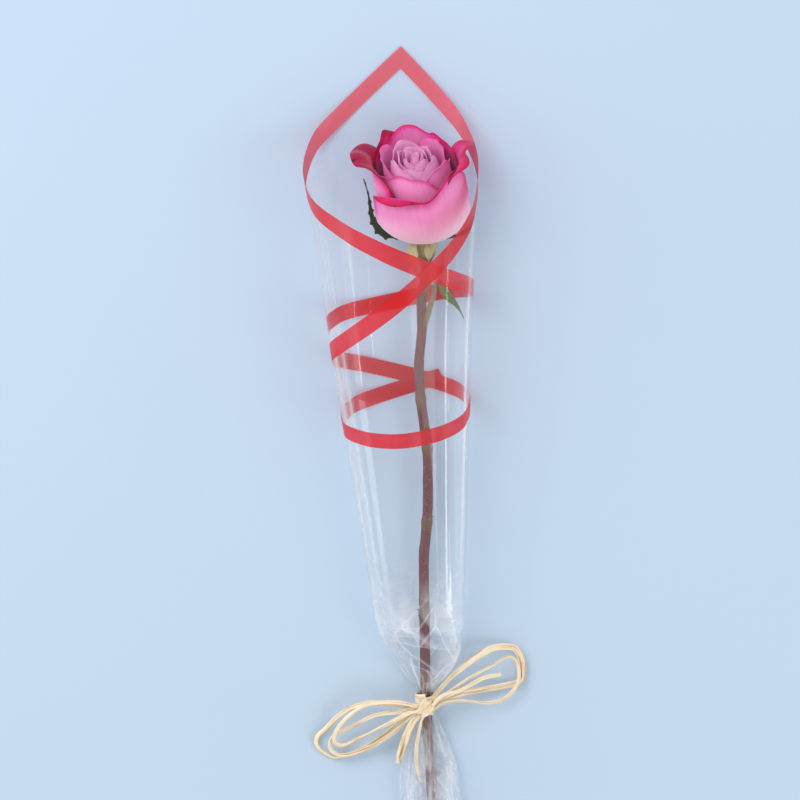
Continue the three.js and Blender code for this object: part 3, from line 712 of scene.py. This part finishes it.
def film_surface(layer_gap, columns=640, rows=150):
    """The flat sheet in polar form about the roll's point, wound into the roll. A flat angle turns into a
    side of the roll, and each further turn lies one layer outside the one before. Towards the tie the
    radius is drawn in, and pleats with sharp creases take up the width. Returns the grid, the distances
    from the sheet's two printed edges, the flat area, how crumpled each point is and the painted highlight
    along its sharp folds and the lines down the sleeve."""
    angle = film_columns(columns)
    last, top = angle[-1], sheet_top(angle)
    along = film_rows(top, np.minimum(tail_cut(angle), top - 0.5), rows)
    angle = np.broadcast_to(angle, along.shape)
    side = side_of(angle)
    reach = along / slant(side)
    out, high, middle, past = film_radii(reach, side)
    above = reach > TIE_REACH
    layer = (last - angle) / FLAT_TURN
    inset = layer_gap * layer
    fan = np.where(above, 0, np.clip(past / 40, 0, 1) * 2.2 * np.sin(layer * 2.1 + 0.6))
    grow = film_folds(side, along, above, past) - inset + fan

    floor, corner = inset + 0.05, ROLL_CORNER * out
    x = (out + grow) * np.sin(side)
    z = soft_floor(middle - (high + grow) * np.cos(side), floor, corner)
    raised = soft_floor(middle - high - grow, floor, corner) - floor
    z = np.maximum(z - raised * (0.5 + 0.5 * np.cos(side)) ** 0.5, floor)
    belly = TIE_REACH + BLOOM_AT[1] + BELLY_HEIGHT
    drawn = np.sin(side / 2) ** 4 * ease((reach - belly + TOP_DRAWN_LENGTH) / TOP_DRAWN_LENGTH)
    points = np.stack([x + TOP_SHIFT * drawn, reach + TOP_DRAWN * drawn, z], -1)
    tie = np.array([-TIE_REACH * math.sin(ROLL_LEAN), TIE_REACH * math.cos(ROLL_LEAN), 0])
    points = points @ ROLL_TURNED.T - tie + np.array([ROLL_SHIFT, 0, 0])

    flat = np.stack([along * np.sin(angle), along * np.cos(angle)], -1) - FLAT_TIP
    edges = np.stack([flat @ ALONG_LONG, flat @ ALONG_SHORT], -1) * MM
    area = float(np.sum((along[0] ** 2 - along[-1] ** 2) / 2 * np.gradient(angle[0]))) * MM**2
    creased = np.where(above, ease(1.75 - past / 42), 0.55)
    bent = np.abs(np.gradient(unit(np.gradient(points, axis=1)), axis=1)).sum(-1)
    # painted highlight: white where the film bends sharply in its crumpled part and along the lines down the
    # sleeve
    fold_highlight = np.clip((bent - 0.34) / 0.7, 0, 1) * creased + paint_highlight_lines(side, reach)
    return points, edges, area, creased, np.clip(fold_highlight, 0, 1)


# ---- the raffia ----

BAND_RADIUS = NECK_RADIUS + 0.2 + 0.3  # past half the film's wall and a clearance
BAND_WALL = 0.9
BAND_WIDTH = 10.0
BAND_MARGIN = 1.4  # from the band's end to the middle of its first and last turn
KNOT_WRAPS = ((50, 20, -1.5), (42, -6, 0.6), (-48, 12, 0.4), (64, 4, 2.4))  # lean, roll and how far aside
MAP_LENGTH = 30.0  # a flat map's unit along a strand or the stem
KNOT_SIZE = np.array([4.6, 4.2, 2.6])
KNOT_AT = np.array([0.8, -1.0, TIE_HEIGHT + BAND_RADIUS + BAND_WALL + 0.3 + KNOT_SIZE[2]])

# CAD node: width, root in the knot (angle, lift), route, root that it comes back to
STRANDS = {
    "raffia_loop_left_low": (3.6, (170, -1.7), (
        (-19, 0.5, 15), (-31, -1.6, 10), (-41, -7.5, 6.5), (-49, -16, 4.2), (-53.4, -20, 3.2),
        (-53.8, -24.5, 2.7), (-50, -28.6, 2.5), (-43.5, -31, 2.8), (-31.5, -26.7, 5), (-20, -18.5, 8.7),
        (-10, -9, 12.6)), (214, -1.7)),
    "raffia_loop_left_middle": (2.6, (176, 0), (
        (-12, -2.4, 17), (-24.5, -5, 14.6), (-36, -12, 10.4), (-44.5, -17.6, 8.2), (-47, -22.5, 7),
        (-45.5, -26.6, 6.6), (-39.5, -28, 6.8), (-28, -23.6, 8.6), (-17, -16, 11.8),
        (-9, -8.6, 15.4)), (208, 0)),
    "raffia_loop_left_high": (2.8, (164, 1.7), (
        (-14, 2.6, 19.2), (-28, 0.6, 17), (-37, -6, 14.2), (-43, -13.5, 12), (-44.6, -19.6, 10.8),
        (-41, -22, 10.6), (-32, -17.5, 12), (-19, -10.5, 15.4), (-9, -4.6, 18.6)), (200, 1.7)),
    "raffia_loop_right_low": (4.2, (38, -1.7), (
        (8, 8.5, 17.3), (15, 16.5, 16.4), (26, 24, 12.2), (35, 28.2, 7.2), (45, 28, 4.8), (49.2, 23, 3.8),
        (50.4, 15.5, 3.2), (48.6, 9, 3.2), (40.5, 7, 4), (30.5, 6.4, 6.8), (18.5, 5, 11.2)), (6, -1.7)),
    "raffia_loop_right_middle": (2.6, (30, 0), (
        (11, 7, 18.9), (22, 14, 16.4), (35.5, 20, 11), (43.5, 23, 8.4), (47, 18, 7.2), (47, 9, 6.6),
        (41, 1.6, 6.4), (32, -0.8, 7.4), (20.5, 1.4, 11), (10, 1, 15.4)), (-14, 0)),
    "raffia_end_right": (2.8, (20, 1.7), (
        (10.5, 6.5, 20.8), (18.5, 8.6, 19), (30, 13.6, 14.2), (39, 15.4, 12)), None),
    "raffia_end_left": (4.6, (250, -1.2), (
        (-4.4, -8, 15.4), (-8.4, -16, 14.4), (-11.2, -26, 10), (-13, -33, 7)), None),
    "raffia_end_middle": (1.6, (262, 0.6), (
        (-1.6, -9, 17.6), (-3.6, -20, 17), (-3.8, -30, 16), (-1.6, -40, 15.4)), None),
}


def knot_root(angle, lift):
    """Where a strand leaves the knot: on its ellipse at a lift above its middle."""
    share = math.sqrt(max(0, 1 - (lift / KNOT_SIZE[2]) ** 2))
    reach = KNOT_SIZE[0] * share + 0.2
    a = math.radians(angle)
    return KNOT_AT + np.array([reach * math.cos(a), reach * math.sin(a), lift])


def strand_path(name):
    """The strand's middle line, out of the knot and, for a loop, back into it."""
    _, root, route, back = STRANDS[name]
    points = [knot_root(*root), *route] + ([knot_root(*back)] if back else [])
    return smooth_path(points, 15 * len(points))


def ribbon(path, width, twist, seed, wall=0.26, columns=9):
    """A strand of raffia as three split fibres that lie side by side and cross: each follows the strand's
    path, pushed sideways and up by slow sines of its run, twists a little and is cupped like a gutter.
    Returns points, quads and the flat map."""
    rng = np.random.default_rng(seed)
    run = path_run(path)
    _, side, face = path_frames(path, np.cross(unit(np.gradient(path, axis=0)), (0, 0, 1.0)))
    ends = ease(np.minimum(run, run[-1] - run) / 6)[:, None]
    u = np.linspace(-1, 1, columns)
    fibres, maps = [], []
    for k in range(3):
        phase = rng.uniform(0, TURN, 5)
        turned = (twist * np.sin(run / run[-1] * TURN * 0.9 + phase[0]))[:, None]
        across = side * np.cos(turned) + face * np.sin(turned)
        up = -side * np.sin(turned) + face * np.cos(turned)
        aside = (k - 1) * 0.34 * width * np.cos(run / rng.uniform(16, 26) + phase[1])[:, None]
        lift = 0.32 * np.sin(run / rng.uniform(11, 19) + phase[2])[:, None] + 0.2 * (k - 1)
        middle = path + (side * aside + face * lift) * ends
        half = width * (0.24 + 0.07 * rng.uniform(-1, 1)) * (1 + 0.2 * np.sin(run / 7 + phase[3]))
        cupped = 0.35 * u**2 + 0.07 * np.sin(9 * u + phase[4])
        grid = middle[:, None] + across[:, None] * (half[:, None] * u)[..., None]
        grid = grid + up[:, None] * (half[:, None] * cupped)[..., None]
        fibres.append(thin_solid(grid, wall))
        uu = np.broadcast_to(u * 0.5 + 0.5 + 3 * k + seed, grid.shape[:2])
        vv = np.broadcast_to((run / MAP_LENGTH)[:, None], grid.shape[:2])
        maps.append(both_skins(np.stack([uu, vv], -1)))
    points, quads = join(*fibres)
    return points, quads, np.concatenate(maps)


# ---- what a user can change ----


def length_setting(name, description, default, low, high):
    """A length that a user can change."""
    return FloatProperty(name=name, description=description, default=default, min=low, max=high,
                         unit="LENGTH")


def colour_setting(name, description, red, green, blue):
    """A colour that a user can change, given from 0 to 255."""
    return FloatVectorProperty(name=name, description=description, default=tint(red, green, blue), size=3,
                               min=0, max=1, subtype="COLOR")


class RoseFlower(PropertyGroup):
    outer_shell: length_setting("Bloom radius", "Radius of the outermost petal", 0.024, 0.015, 0.035)
    inner_shell: length_setting("Heart radius", "Radius of the innermost petal", 0.0029, 0.001, 0.006)
    face: colour_setting("Petal face", "Colour of a petal's face", 244, 150, 204)
    flush: colour_setting("Petal flush", "Colour between the face and the margin", 234, 72, 160)
    margin: colour_setting("Petal margin", "Colour of a petal's margin", 214, 12, 88)
    bark: colour_setting("Stem", "Colour of the stem's bark", 58, 22, 26)
    leaf: colour_setting("Leaf", "Colour of the two dark sepals", 36, 58, 34)


class RoseFilm(PropertyGroup):
    layer_gap: length_setting("Layer gap", "Distance between turns of film", 0.00022, 0.00005, 0.001)
    stripe_width: length_setting("Border width", "Width of the printed border", 0.008, 0.002, 0.02)
    ink: colour_setting("Border", "Colour of the printed border", 212, 12, 18)


class RoseTie(PropertyGroup):
    turns: IntProperty(name="Band turns", description="Turns of raffia round the neck", default=4,
                       min=2, max=8)
    pale: colour_setting("Raffia", "Colour of the raffia's sunlit fibres", 250, 226, 188)
    tan: colour_setting("Raffia shade", "Colour of the raffia's darker fibres", 206, 158, 108)


class RoseStudio(PropertyGroup):
    floor: colour_setting("Floor", "Colour of the floor", 190, 210, 230)
    key: FloatProperty(name="Key light", description="Power of the key light", default=7.0, min=0, max=200)
    camera_distance: length_setting("Camera distance", "From the camera to the object", 4.0, 0.5, 8)
    camera_tilt: FloatProperty(name="Camera tilt", description="From straight down, towards the flower",
                               default=math.radians(13), min=0, max=math.radians(60), subtype="ANGLE")


def soft_light(name, place, size, power, target):
    """A rectangular soft light at a place that faces a target."""
    light = bpy.data.lights.new(name, "AREA")
    light.shape = "RECTANGLE"
    light.size, light.size_y = size
    light.energy = power
    lamp = bpy.data.objects.new(name, light)
    bpy.context.scene.collection.objects.link(lamp)
    lamp.location = place
    lamp.rotation_euler = (Vector(target) - Vector(place)).to_track_quat("-Z", "Y").to_euler()
    return lamp


VIEW_MIDDLE = (-0.012, 0.1593, 0.02)  # what the camera looks at, from the tie, in metres
VIEW_WIDTH = 0.4  # how much it sees across, in metres
SENSOR = 36
STRIP_LENGTH = 1.4
# name, places across and up from the view's middle, width, share of the key light's power
STRIP_LAMPS = (("left_strip", -1.3, 0.2, 0.14, 0.5), ("right_strip", 1.3, 0.2, 0.08, 0.35),
               ("upper_left_strip", -1.0, 0.9, 0.03, 0.15))


class ROSE_OT_stage(Operator):
    """Makes the floor, the soft lights and the camera"""

    bl_idname = "rose.stage"
    bl_label = "Stage"

    def execute(self, context):
        studio = context.scene.rose_studio
        scene = context.scene
        f = Finish("pale_floor", Roughness=0.7, Specular_IOR_Level=0.15)
        mottle = f.noise((1.3, 1.3, 1.3), detail=4, source="Object")
        f.base(f.mix(f.times(mottle, 0.12), tuple(studio.floor), tint(240, 246, 252)))
        f.bump(f.noise((400.0, 400.0, 400.0), detail=2, source="Object"), 0.05, 0.0003)
        bpy.ops.mesh.primitive_plane_add(size=6)
        floor = context.object
        floor.name = "floor"
        floor.data.materials.append(f.material)

        world = bpy.data.worlds.new("studio")
        scene.world = world
        world.use_nodes = True
        world.node_tree.nodes["Background"].inputs["Color"].default_value = COOL_WHITE
        world.node_tree.nodes["Background"].inputs["Strength"].default_value = 0.7
        scene.view_settings.view_transform = "Standard"
        scene.cycles.transparent_max_bounces = 96  # the film lies many layers deep
        middle = Vector(ZERO * MM) + Vector(VIEW_MIDDLE)
        key = studio.key
        soft_light("key_light", middle + Vector((-0.55, 0.75, 1.1)), (0.7, 0.7), key, middle)
        soft_light("fill_light", middle + Vector((0.9, -0.4, 1.0)), (0.6, 0.6), key * 0.4, middle)
        along = Vector((0, 1, 0))
        for name, x, z, width, share in STRIP_LAMPS:
            lamp = soft_light(name, middle + Vector((x, 0, z)), (STRIP_LENGTH, width), key * share, middle)
            facing = Vector((x, 0, z)).normalized()
            turned = Matrix((along, facing.cross(along), facing)).transposed()
            lamp.rotation_euler = turned.to_euler()

        tilt = studio.camera_tilt
        back = Vector((0, math.sin(tilt), math.cos(tilt)))
        up = Vector((0, math.cos(tilt), -math.sin(tilt)))
        lens = bpy.data.cameras.new("camera")
        lens.sensor_width = SENSOR
        lens.lens = SENSOR * studio.camera_distance / VIEW_WIDTH
        lens.clip_start = 0.01
        camera = bpy.data.objects.new("camera", lens)
        scene.collection.objects.link(camera)
        turned = Matrix((Vector((1, 0, 0)), up, back)).transposed().to_4x4()
        camera.matrix_world = Matrix.Translation(middle + back * studio.camera_distance) @ turned
        scene.camera = camera
        return {"FINISHED"}


STEM_ROUTE = (
    (6.9, -106.07, 2.9), (4.4, -49, 4.9), (3.2, -35, 5.8), (2.2, -19, 6.9), (ROLL_SHIFT, 0, 7.9),
    (0.6, 24, 8.8),
    (0.2, 55, 9.7), (0, 75.5, 10.2), (0.9, 86, 10.4), (1.9, 101, 10.7), (2, 122, 11.1), (1.5, 135, 11.3),
    (0.2, 144, 11.5), (-1.6, 158, 11.8), (-2.5, 171, 12), (-2.2, 181, 12.2), (-1, 194, 12.5),
    (-1.2, 210, 12.9),
)
HIP_LENGTH = 24.0
HIP_PROFILE = ((2.5, -20), (2.75, -17.5), (2.95, -16), (3.7, -14.5), (4.6, -13), (5.7, -10.8), (6.3, -8.5),
               (6.55, -7), (6.6, -5.5), (6.45, -4), (6.2, -2.5), (6.35, -1.4), (6.5, -0.5), (6.1, 0))
# share of the stem, way it points, length and foot's radius
THORNS = ((0.605, (1, 0.75, 0.2), 4.2, 1.5), (0.46, (-1, 0.5, 0.15), 4.4, 1.7),
          (0.2, (0.8, 0.4, 0.5), 3.4, 1.5))
THORN_TIP = 0.25
STEM_RADIUS = 2.75
STEM_SIDES = 28
# what a point of the stem's mesh belongs to, past the stem itself, whose points hold their share of it
ON_HIP, ON_THORN, ON_SHOOT = 2.0, 3.0, 4.0
STEM_NODES = (0.27, 0.455, 0.6, 0.715, 0.79)
SHOOT_ROUTE = ((-1, 193, 12.6), (1.4, 200.4, 13.7), (4.4, 210.9, 15.2), (6.4, 219, 16.6))


class ROSE_OT_stem(Operator):
    """Makes the stem with its nodes, thorns, side branch and the receptacle under the flower"""

    bl_idname = "rose.stem"
    bl_label = "Stem"

    def execute(self, context):
        flower = context.scene.rose_flower
        axis = from_bloom(np.array([[0, 0, -HIP_LENGTH], [0, 0, -HIP_LENGTH + 6.0]]))
        path = smooth_path([*STEM_ROUTE, *axis], 700)
        t = np.linspace(0, 1, len(path))
        swell = sum(np.exp(-(((t - at) / 0.006) ** 2)) for at in STEM_NODES)
        radius = STEM_RADIUS - 0.3 * t + 0.45 * swell + 0.05 * np.sin(70 * t) + 0.04 * np.sin(173 * t)
        bar = tube(path, radius, STEM_SIDES)
        profile = np.array(HIP_PROFILE)
        fine = np.linspace(profile[0, 1], 0, 60)
        hip_path = from_bloom(np.stack([0 * fine, 0 * fine, fine], -1))
        hip = tube(hip_path, np.interp(fine, profile[:, 1], profile[:, 0]), 40)
        solids = [bar, hip]
        marks = [np.repeat(np.concatenate([[0], t, [1]]), STEM_SIDES), np.full(len(hip[0]), ON_HIP)]
        for at, way, length, foot in THORNS:
            start = path[int(at * (len(path) - 1))]
            rise = np.linspace(0, 1, 14)
            way = unit(np.array(way))
            bent = start + way * (rise * length)[:, None] + np.array([0, -0.8, 0]) * (rise**2)[:, None]
            thorn = tube(bent, THORN_TIP + (foot - THORN_TIP) * (1 - rise) ** 1.6, 14)
            solids.append(thorn)
            marks.append(np.full(len(thorn[0]), ON_THORN))
        shoot_path = smooth_path(SHOOT_ROUTE, 60)
        s = np.linspace(0, 1, 60)
        shoot = tube(shoot_path, 1.7 - 0.5 * s + 0.25 * np.exp(-(((s - 0.95) / 0.05) ** 2)), 20)
        solids.append(shoot)
        marks.append(np.full(len(shoot[0]), ON_SHOOT))
        points, quads = join(*solids)
        mark = np.concatenate(marks)
        near_node = sum(np.exp(-(((mark - at) / 0.012) ** 2)) for at in STEM_NODES)
        high = np.clip((mark - 0.66) / 0.34, 0, 1) * (mark <= 1)
        off_stem = np.where(mark == ON_SHOOT, 0.75, 0.1)
        green = np.where(mark <= 1, np.clip(0.75 * near_node + 0.08 * high, 0, 1), off_stem)
        along = from_bloom_height(points)
        cream = (mark == ON_HIP) * ease((along + 15) / 9) * 0.85 + (mark == ON_SHOOT) * 0.15
        angle = np.arctan2(points[:, 2] - 10, points[:, 0])
        uv = np.stack([angle / TURN, points[:, 1] / MAP_LENGTH], -1)
        piece = put_mesh("stem_bark", points, quads, uv, {"green": green, "cream": cream})
        finish = stem_finish(tuple(flower.bark), tint(122, 46, 50), tint(104, 90, 48), tint(196, 192, 140))
        stand_for(piece, "stem", finish)
        return {"FINISHED"}


def from_bloom_height(points):
    """How far up the flower's axis each point of the drawing lies."""
    m = bloom_matrix()
    return (points - m[:3, 3]) @ m[:3, 2]


# CAD node: azimuth, width, then where it passes: 0 on the hip's skin and 1 outside the outermost petal
SEPALS = {
    "sepal_left": (-86, 4.0, ((0, -1.6), (0.34, -1), (0.76, 2.2), (1, 11), (1.06, 24), (1.16, 33.5))),
    "sepal_right": (70, 6.0, ((0, -1.6), (0.34, -1), (0.76, 2.4), (0.96, 8), (1.06, 13))),
    "sepal_front_left": (-38, 7.5, ((0, -2.4), (0.12, -4.2), (0.17, -9), (0.12, -14.5), (0.04, -19.5))),
    "sepal_front": (12, 4.5, ((0, -2.4), (0.1, -4.2), (0.13, -8), (0.08, -13))),
    "sepal_back": (172, 6.0, ((0, -2.4), (0.11, -4.2), (0.14, -9), (0.08, -15))),
}


def leaf_solid(path, side, width, widest, barbs, wall=0.45, columns=17):
    """A leaf along a path: its width swells to its widest place and runs out to a point, with a few
    barbs on its edge, and it is folded a little along its midrib."""
    _, across, face = path_frames(path, side)
    v = np.linspace(0, 1, len(path))
    swell = np.where(v < widest, ease(0.25 + 0.75 * v / widest), ease((1 - v) / (1 - widest)))
    half = width / 2 * np.maximum(0.1, swell)
    u = np.linspace(-1, 1, columns)
    edge = 1 + barbs * np.maximum(0, zigzag(v * 55))[:, None] * np.abs(u)[None] ** 3
    grid = path[:, None] + across[:, None] * (half[:, None] * u * edge)[..., None]
    grid = grid + face[:, None] * (half[:, None] * (u**2 * 0.25))[..., None]
    points, quads = thin_solid(grid, wall)
    vv, uu = np.meshgrid(v, u * 0.5 + 0.5, indexing="ij")
    return points, quads, both_skins(np.stack([uu, vv], -1)), both_skins(vv)


LOW_SEPALS = ("sepal_front_left", "sepal_front", "sepal_back")  # these lie down along the hip
SEPAL_LEAN = 0.5  # how far the others turn their edge to the flower


class ROSE_OT_sepals(Operator):
    """Makes the sepals that hug or leave the flower's base"""

    bl_idname = "rose.sepals"
    bl_label = "Sepals"

    def execute(self, context):
        flower = context.scene.rose_flower
        dark = green_finish("sepal_green", tuple(flower.leaf), tint(70, 92, 58), tint(60, 50, 40))
        pale = green_finish("sepal_pale", tint(176, 178, 128), tint(206, 200, 160), tint(150, 110, 100))
        skin = HIP_RADIUS + 0.3
        petals = flower.outer_shell / MM + PETAL_WALL / 2 + 0.3 + 0.5
        turn = bloom_matrix()[:3, :3]
        for name, (azimuth, width, route) in SEPALS.items():
            a = math.radians(azimuth)
            out = np.array([math.sin(a), -math.cos(a), 0])
            points = [out * (skin + share * (petals - skin)) + np.array([0, 0, z]) for share, z in route]
            path = from_bloom(smooth_path(points, 150))
            low = name in LOW_SEPALS
            lean = 0.0 if low else SEPAL_LEAN
            side = turn @ (np.array([math.cos(a), math.sin(a), 0]) * (1 - lean) + out * lean)
            path = path + (turn @ out) * (0.2 * width * lean * ease(np.linspace(0, 3, 150)))[:, None]
            solid, quads, uv, tip = leaf_solid(path, side, width, 0.3, 0.04 if low else 0.9)
            piece = put_mesh(name + "_green", solid, quads, uv, {"tip": tip})
            stand_for(piece, name, pale if low else dark)
        return {"FINISHED"}


LEAVES = {
    "shoot_leaf": (4.6, 0.28, (
        (7.4, 219.4, 17.8), (8.7, 217.4, 19.4), (10.6, 214.4, 19.8), (13.1, 211.2, 19.2),
        (15.7, 208, 18.2), (17.9, 204.4, 17.4), (19.8, 200.4, 16.6))),
    "stipule": (2.2, 0.35, ((4.9, 215.6, 17.6), (2.6, 218.4, 18.6), (0.8, 216.4, 19), (0.7, 212.6, 18.4))),
}


class ROSE_OT_leaves(Operator):
    """Makes the side branch's leaf and stipule"""

    bl_idname = "rose.leaves"
    bl_label = "Leaves"

    def execute(self, context):
        finish = green_finish("leaf_green", tint(70, 96, 50), tint(116, 134, 78), tint(70, 80, 82))
        for name, (width, widest, route) in LEAVES.items():
            path = smooth_path(route, 60)
            solid, quads, uv, tip = leaf_solid(path, (0.62, 0.66, 0.42), width, widest, 0.12)
            piece = put_mesh(name + "_green", solid, quads, uv, {"tip": tip * 0.7})
            stand_for(piece, name, finish)
        return {"FINISHED"}


HEART_PROFILE = ((0.3, 0.5), (4, 1), (10, 1.6), (24, 1.9), (36, 1.8), (41, 1.2), (43, 0.5))  # height, radius
HEART_SIDES, HEART_RINGS = 24, 50


class ROSE_OT_petals(Operator):
    """Makes the petals and the rolled heart between them"""

    bl_idname = "rose.petals"
    bl_label = "Petals"

    def execute(self, context):
        flower = context.scene.rose_flower
        outer, inner = flower.outer_shell / MM, flower.inner_shell / MM
        outside = petal_finish("petal_outside", tuple(flower.face), tuple(flower.flush), tuple(flower.margin),
                               tint(252, 222, 230), tint(170, 6, 62))
        inside = petal_finish("petal_inside", tint(250, 186, 224), tint(246, 142, 200), tint(236, 84, 158),
                              tint(240, 136, 194), tint(214, 44, 118))
        for name, petal in all_petals(outer, inner).items():
            look = (outside, "outer_petals") if name in GUARD_PETALS else (inside, "inner_petals")
            make_petal(name, petal, outer, *look)
        height = np.linspace(HEART_PROFILE[0][0], HEART_PROFILE[-1][0], HEART_RINGS)
        radius = np.interp(height, *zip(*HEART_PROFILE))
        middle = from_bloom(np.stack([-bloom_sway(height), 0 * height, height], -1))
        points, quads = tube(middle, radius, HEART_SIDES)
        ring, place = np.divmod(np.arange(len(points)), HEART_SIDES)
        uv = np.stack([place / HEART_SIDES + ring / 40, ring / (HEART_RINGS + 2)], -1)
        share = ring / (HEART_RINGS + 1)
        values = {"margin": share**4 * 0.4, "rise": 0.5 + 0 * share}
        piece = put_mesh("heart_bud_satin", points, quads, uv, values)
        stand_for(piece, "heart_bud", inside)
        return {"FINISHED"}


class ROSE_OT_film(Operator):
    """Rolls the printed film sheet into the sleeve and gathers it at the tie"""

    bl_idname = "rose.film"
    bl_label = "Film"

    def execute(self, context):
        film = context.scene.rose_film
        points, edges, area, creased, fold_highlight = film_surface(film.layer_gap / MM)
        quads = grid_quads(*points.shape[:2])
        piece = put_mesh("film_sheet", points, quads, edges, {"crease": creased, "fold_highlight": fold_highlight})
        # the last colour is the ink's paler tint near the tip, a painted reflection
        finish = film_finish(film.stripe_width, tuple(film.ink), tint(228, 36, 40), tint(240, 122, 138))
        stand_for(piece, "film_sleeve", finish)
        return {"FINISHED"}


class ROSE_OT_tie(Operator):
    """Winds the raffia band round the neck and makes its knot"""

    bl_idname = "rose.tie"
    bl_label = "Band and knot"

    def execute(self, context):
        tie = context.scene.rose_tie
        finish = raffia_finish("raffia_band_fibre", tuple(tie.pale), tuple(tie.tan))
        middle = np.array([ROLL_SHIFT, 0, TIE_HEIGHT])
        angle = np.linspace(0, TURN * tie.turns, 90 * tie.turns)
        ends = BAND_WIDTH / 2 - BAND_MARGIN
        along = np.linspace(-ends, ends, len(angle)) + 0.35 * np.sin(angle * 1.3)
        u = np.linspace(-1, 1, 13)
        crown = BAND_RADIUS + 0.12 + 0.55 * (1 - u**2) + 0.12 * np.sin(angle * 2.3)[:, None]
        width = 1.45 + 0.15 * np.sin(angle * 1.7)
        grid = np.stack([crown * np.sin(angle)[:, None], along[:, None] + u * width[:, None],
                         crown * np.cos(angle)[:, None]], -1) @ ROLL_TURNED.T + middle
        points, quads = thin_solid(grid, 0.3)
        run = np.broadcast_to((angle * BAND_RADIUS / MAP_LENGTH)[:, None], grid.shape[:2])
        uv = both_skins(np.stack([np.broadcast_to(u * 0.5 + 0.5, grid.shape[:2]), run], -1))
        band = put_mesh("raffia_band_fibre", points, quads, uv)
        stand_for(band, "raffia_band", finish)

        heights, rounds = np.linspace(0, np.pi, 60), np.linspace(0, TURN, 90, endpoint=False)
        theta, phi = np.meshgrid(heights, rounds, indexing="ij")
        ridge = 1 + 0.05 * zigzag(7 * phi + 5 * theta) * np.sin(theta) + 0.03 * np.sin(3 * phi - 4 * theta)
        ball = np.stack([np.sin(theta) * np.cos(phi), np.sin(theta) * np.sin(phi), np.cos(theta)], -1)
        knot_turn = np.array(Matrix.Rotation(math.radians(25), 3, "Z"))
        grid = (ball * ridge[..., None] * KNOT_SIZE * 0.9) @ knot_turn.T + KNOT_AT
        uv = np.stack([phi / TURN * 3, theta / 3], -1)
        solids, maps = [(grid.reshape(-1, 3), grid_quads(60, 90, ring=True)[:, ::-1])], [uv.reshape(-1, 2)]
        around = np.linspace(-0.4, np.pi + 0.4, 70)
        for seed, (lean, roll, aside) in enumerate(KNOT_WRAPS):
            leant = Matrix.Rotation(math.radians(lean), 3, "Z")
            way = np.array(leant @ Matrix.Rotation(math.radians(roll), 3, "X"))
            hoop = np.stack([1.06 * np.cos(around), aside / 5 + 0 * around, 1.02 * np.sin(around)], -1)
            wrap, quads, flat = ribbon(hoop @ way.T * KNOT_SIZE + KNOT_AT, 2.6, 0.25, 40 + seed)
            solids.append((wrap, quads))
            maps.append(flat)
        points, quads = join(*solids)
        knot = put_mesh("raffia_knot_fibre", points, quads, np.concatenate(maps))
        stand_for(knot, "raffia_knot", finish)
        return {"FINISHED"}


class ROSE_OT_strands(Operator):
    """Makes the bow's loops and ends"""

    bl_idname = "rose.strands"
    bl_label = "Bow"

    def execute(self, context):
        tie = context.scene.rose_tie
        finish = raffia_finish("raffia_fibre", tuple(tie.pale), tuple(tie.tan))
        for seed, (name, (width, _, _, _)) in enumerate(STRANDS.items()):
            path = strand_path(name)
            points, quads, uv = ribbon(path, width, 0.7, seed)
            piece = put_mesh(name + "_fibre", points, quads, uv)
            stand_for(piece, name, finish)
        return {"FINISHED"}


class ROSE_PT_panel(Panel):
    """The rose's settings and makers, in the 3D view's sidebar"""

    bl_label = "Rose in a Wrapper"
    bl_idname = "ROSE_PT_panel"
    bl_space_type = "VIEW_3D"
    bl_region_type = "UI"
    bl_category = "Rose"

    def draw(self, context):
        for key, group in SETTINGS.items():
            box = self.layout.box()
            for name in group.__annotations__:
                box.prop(getattr(context.scene, key), name)
        for maker in MAKERS:
            self.layout.operator(maker.bl_idname)


SETTINGS = {"rose_flower": RoseFlower, "rose_film": RoseFilm, "rose_tie": RoseTie, "rose_studio": RoseStudio}
MAKERS = (ROSE_OT_stage, ROSE_OT_tie, ROSE_OT_strands, ROSE_OT_stem, ROSE_OT_sepals, ROSE_OT_leaves,
          ROSE_OT_petals, ROSE_OT_film)


def register():
    for group in (*SETTINGS.values(), *MAKERS, ROSE_PT_panel):
        bpy.utils.register_class(group)
    for key, group in SETTINGS.items():
        setattr(bpy.types.Scene, key, PointerProperty(type=group))


def unregister():
    for key in SETTINGS:
        delattr(bpy.types.Scene, key)
    for group in reversed((*SETTINGS.values(), *MAKERS, ROSE_PT_panel)):
        bpy.utils.unregister_class(group)


def main():
    register()
    for maker in MAKERS:
        family, name = maker.bl_idname.split(".")
        getattr(getattr(bpy.ops, family), name)()


if __name__ == "__main__":
    main()
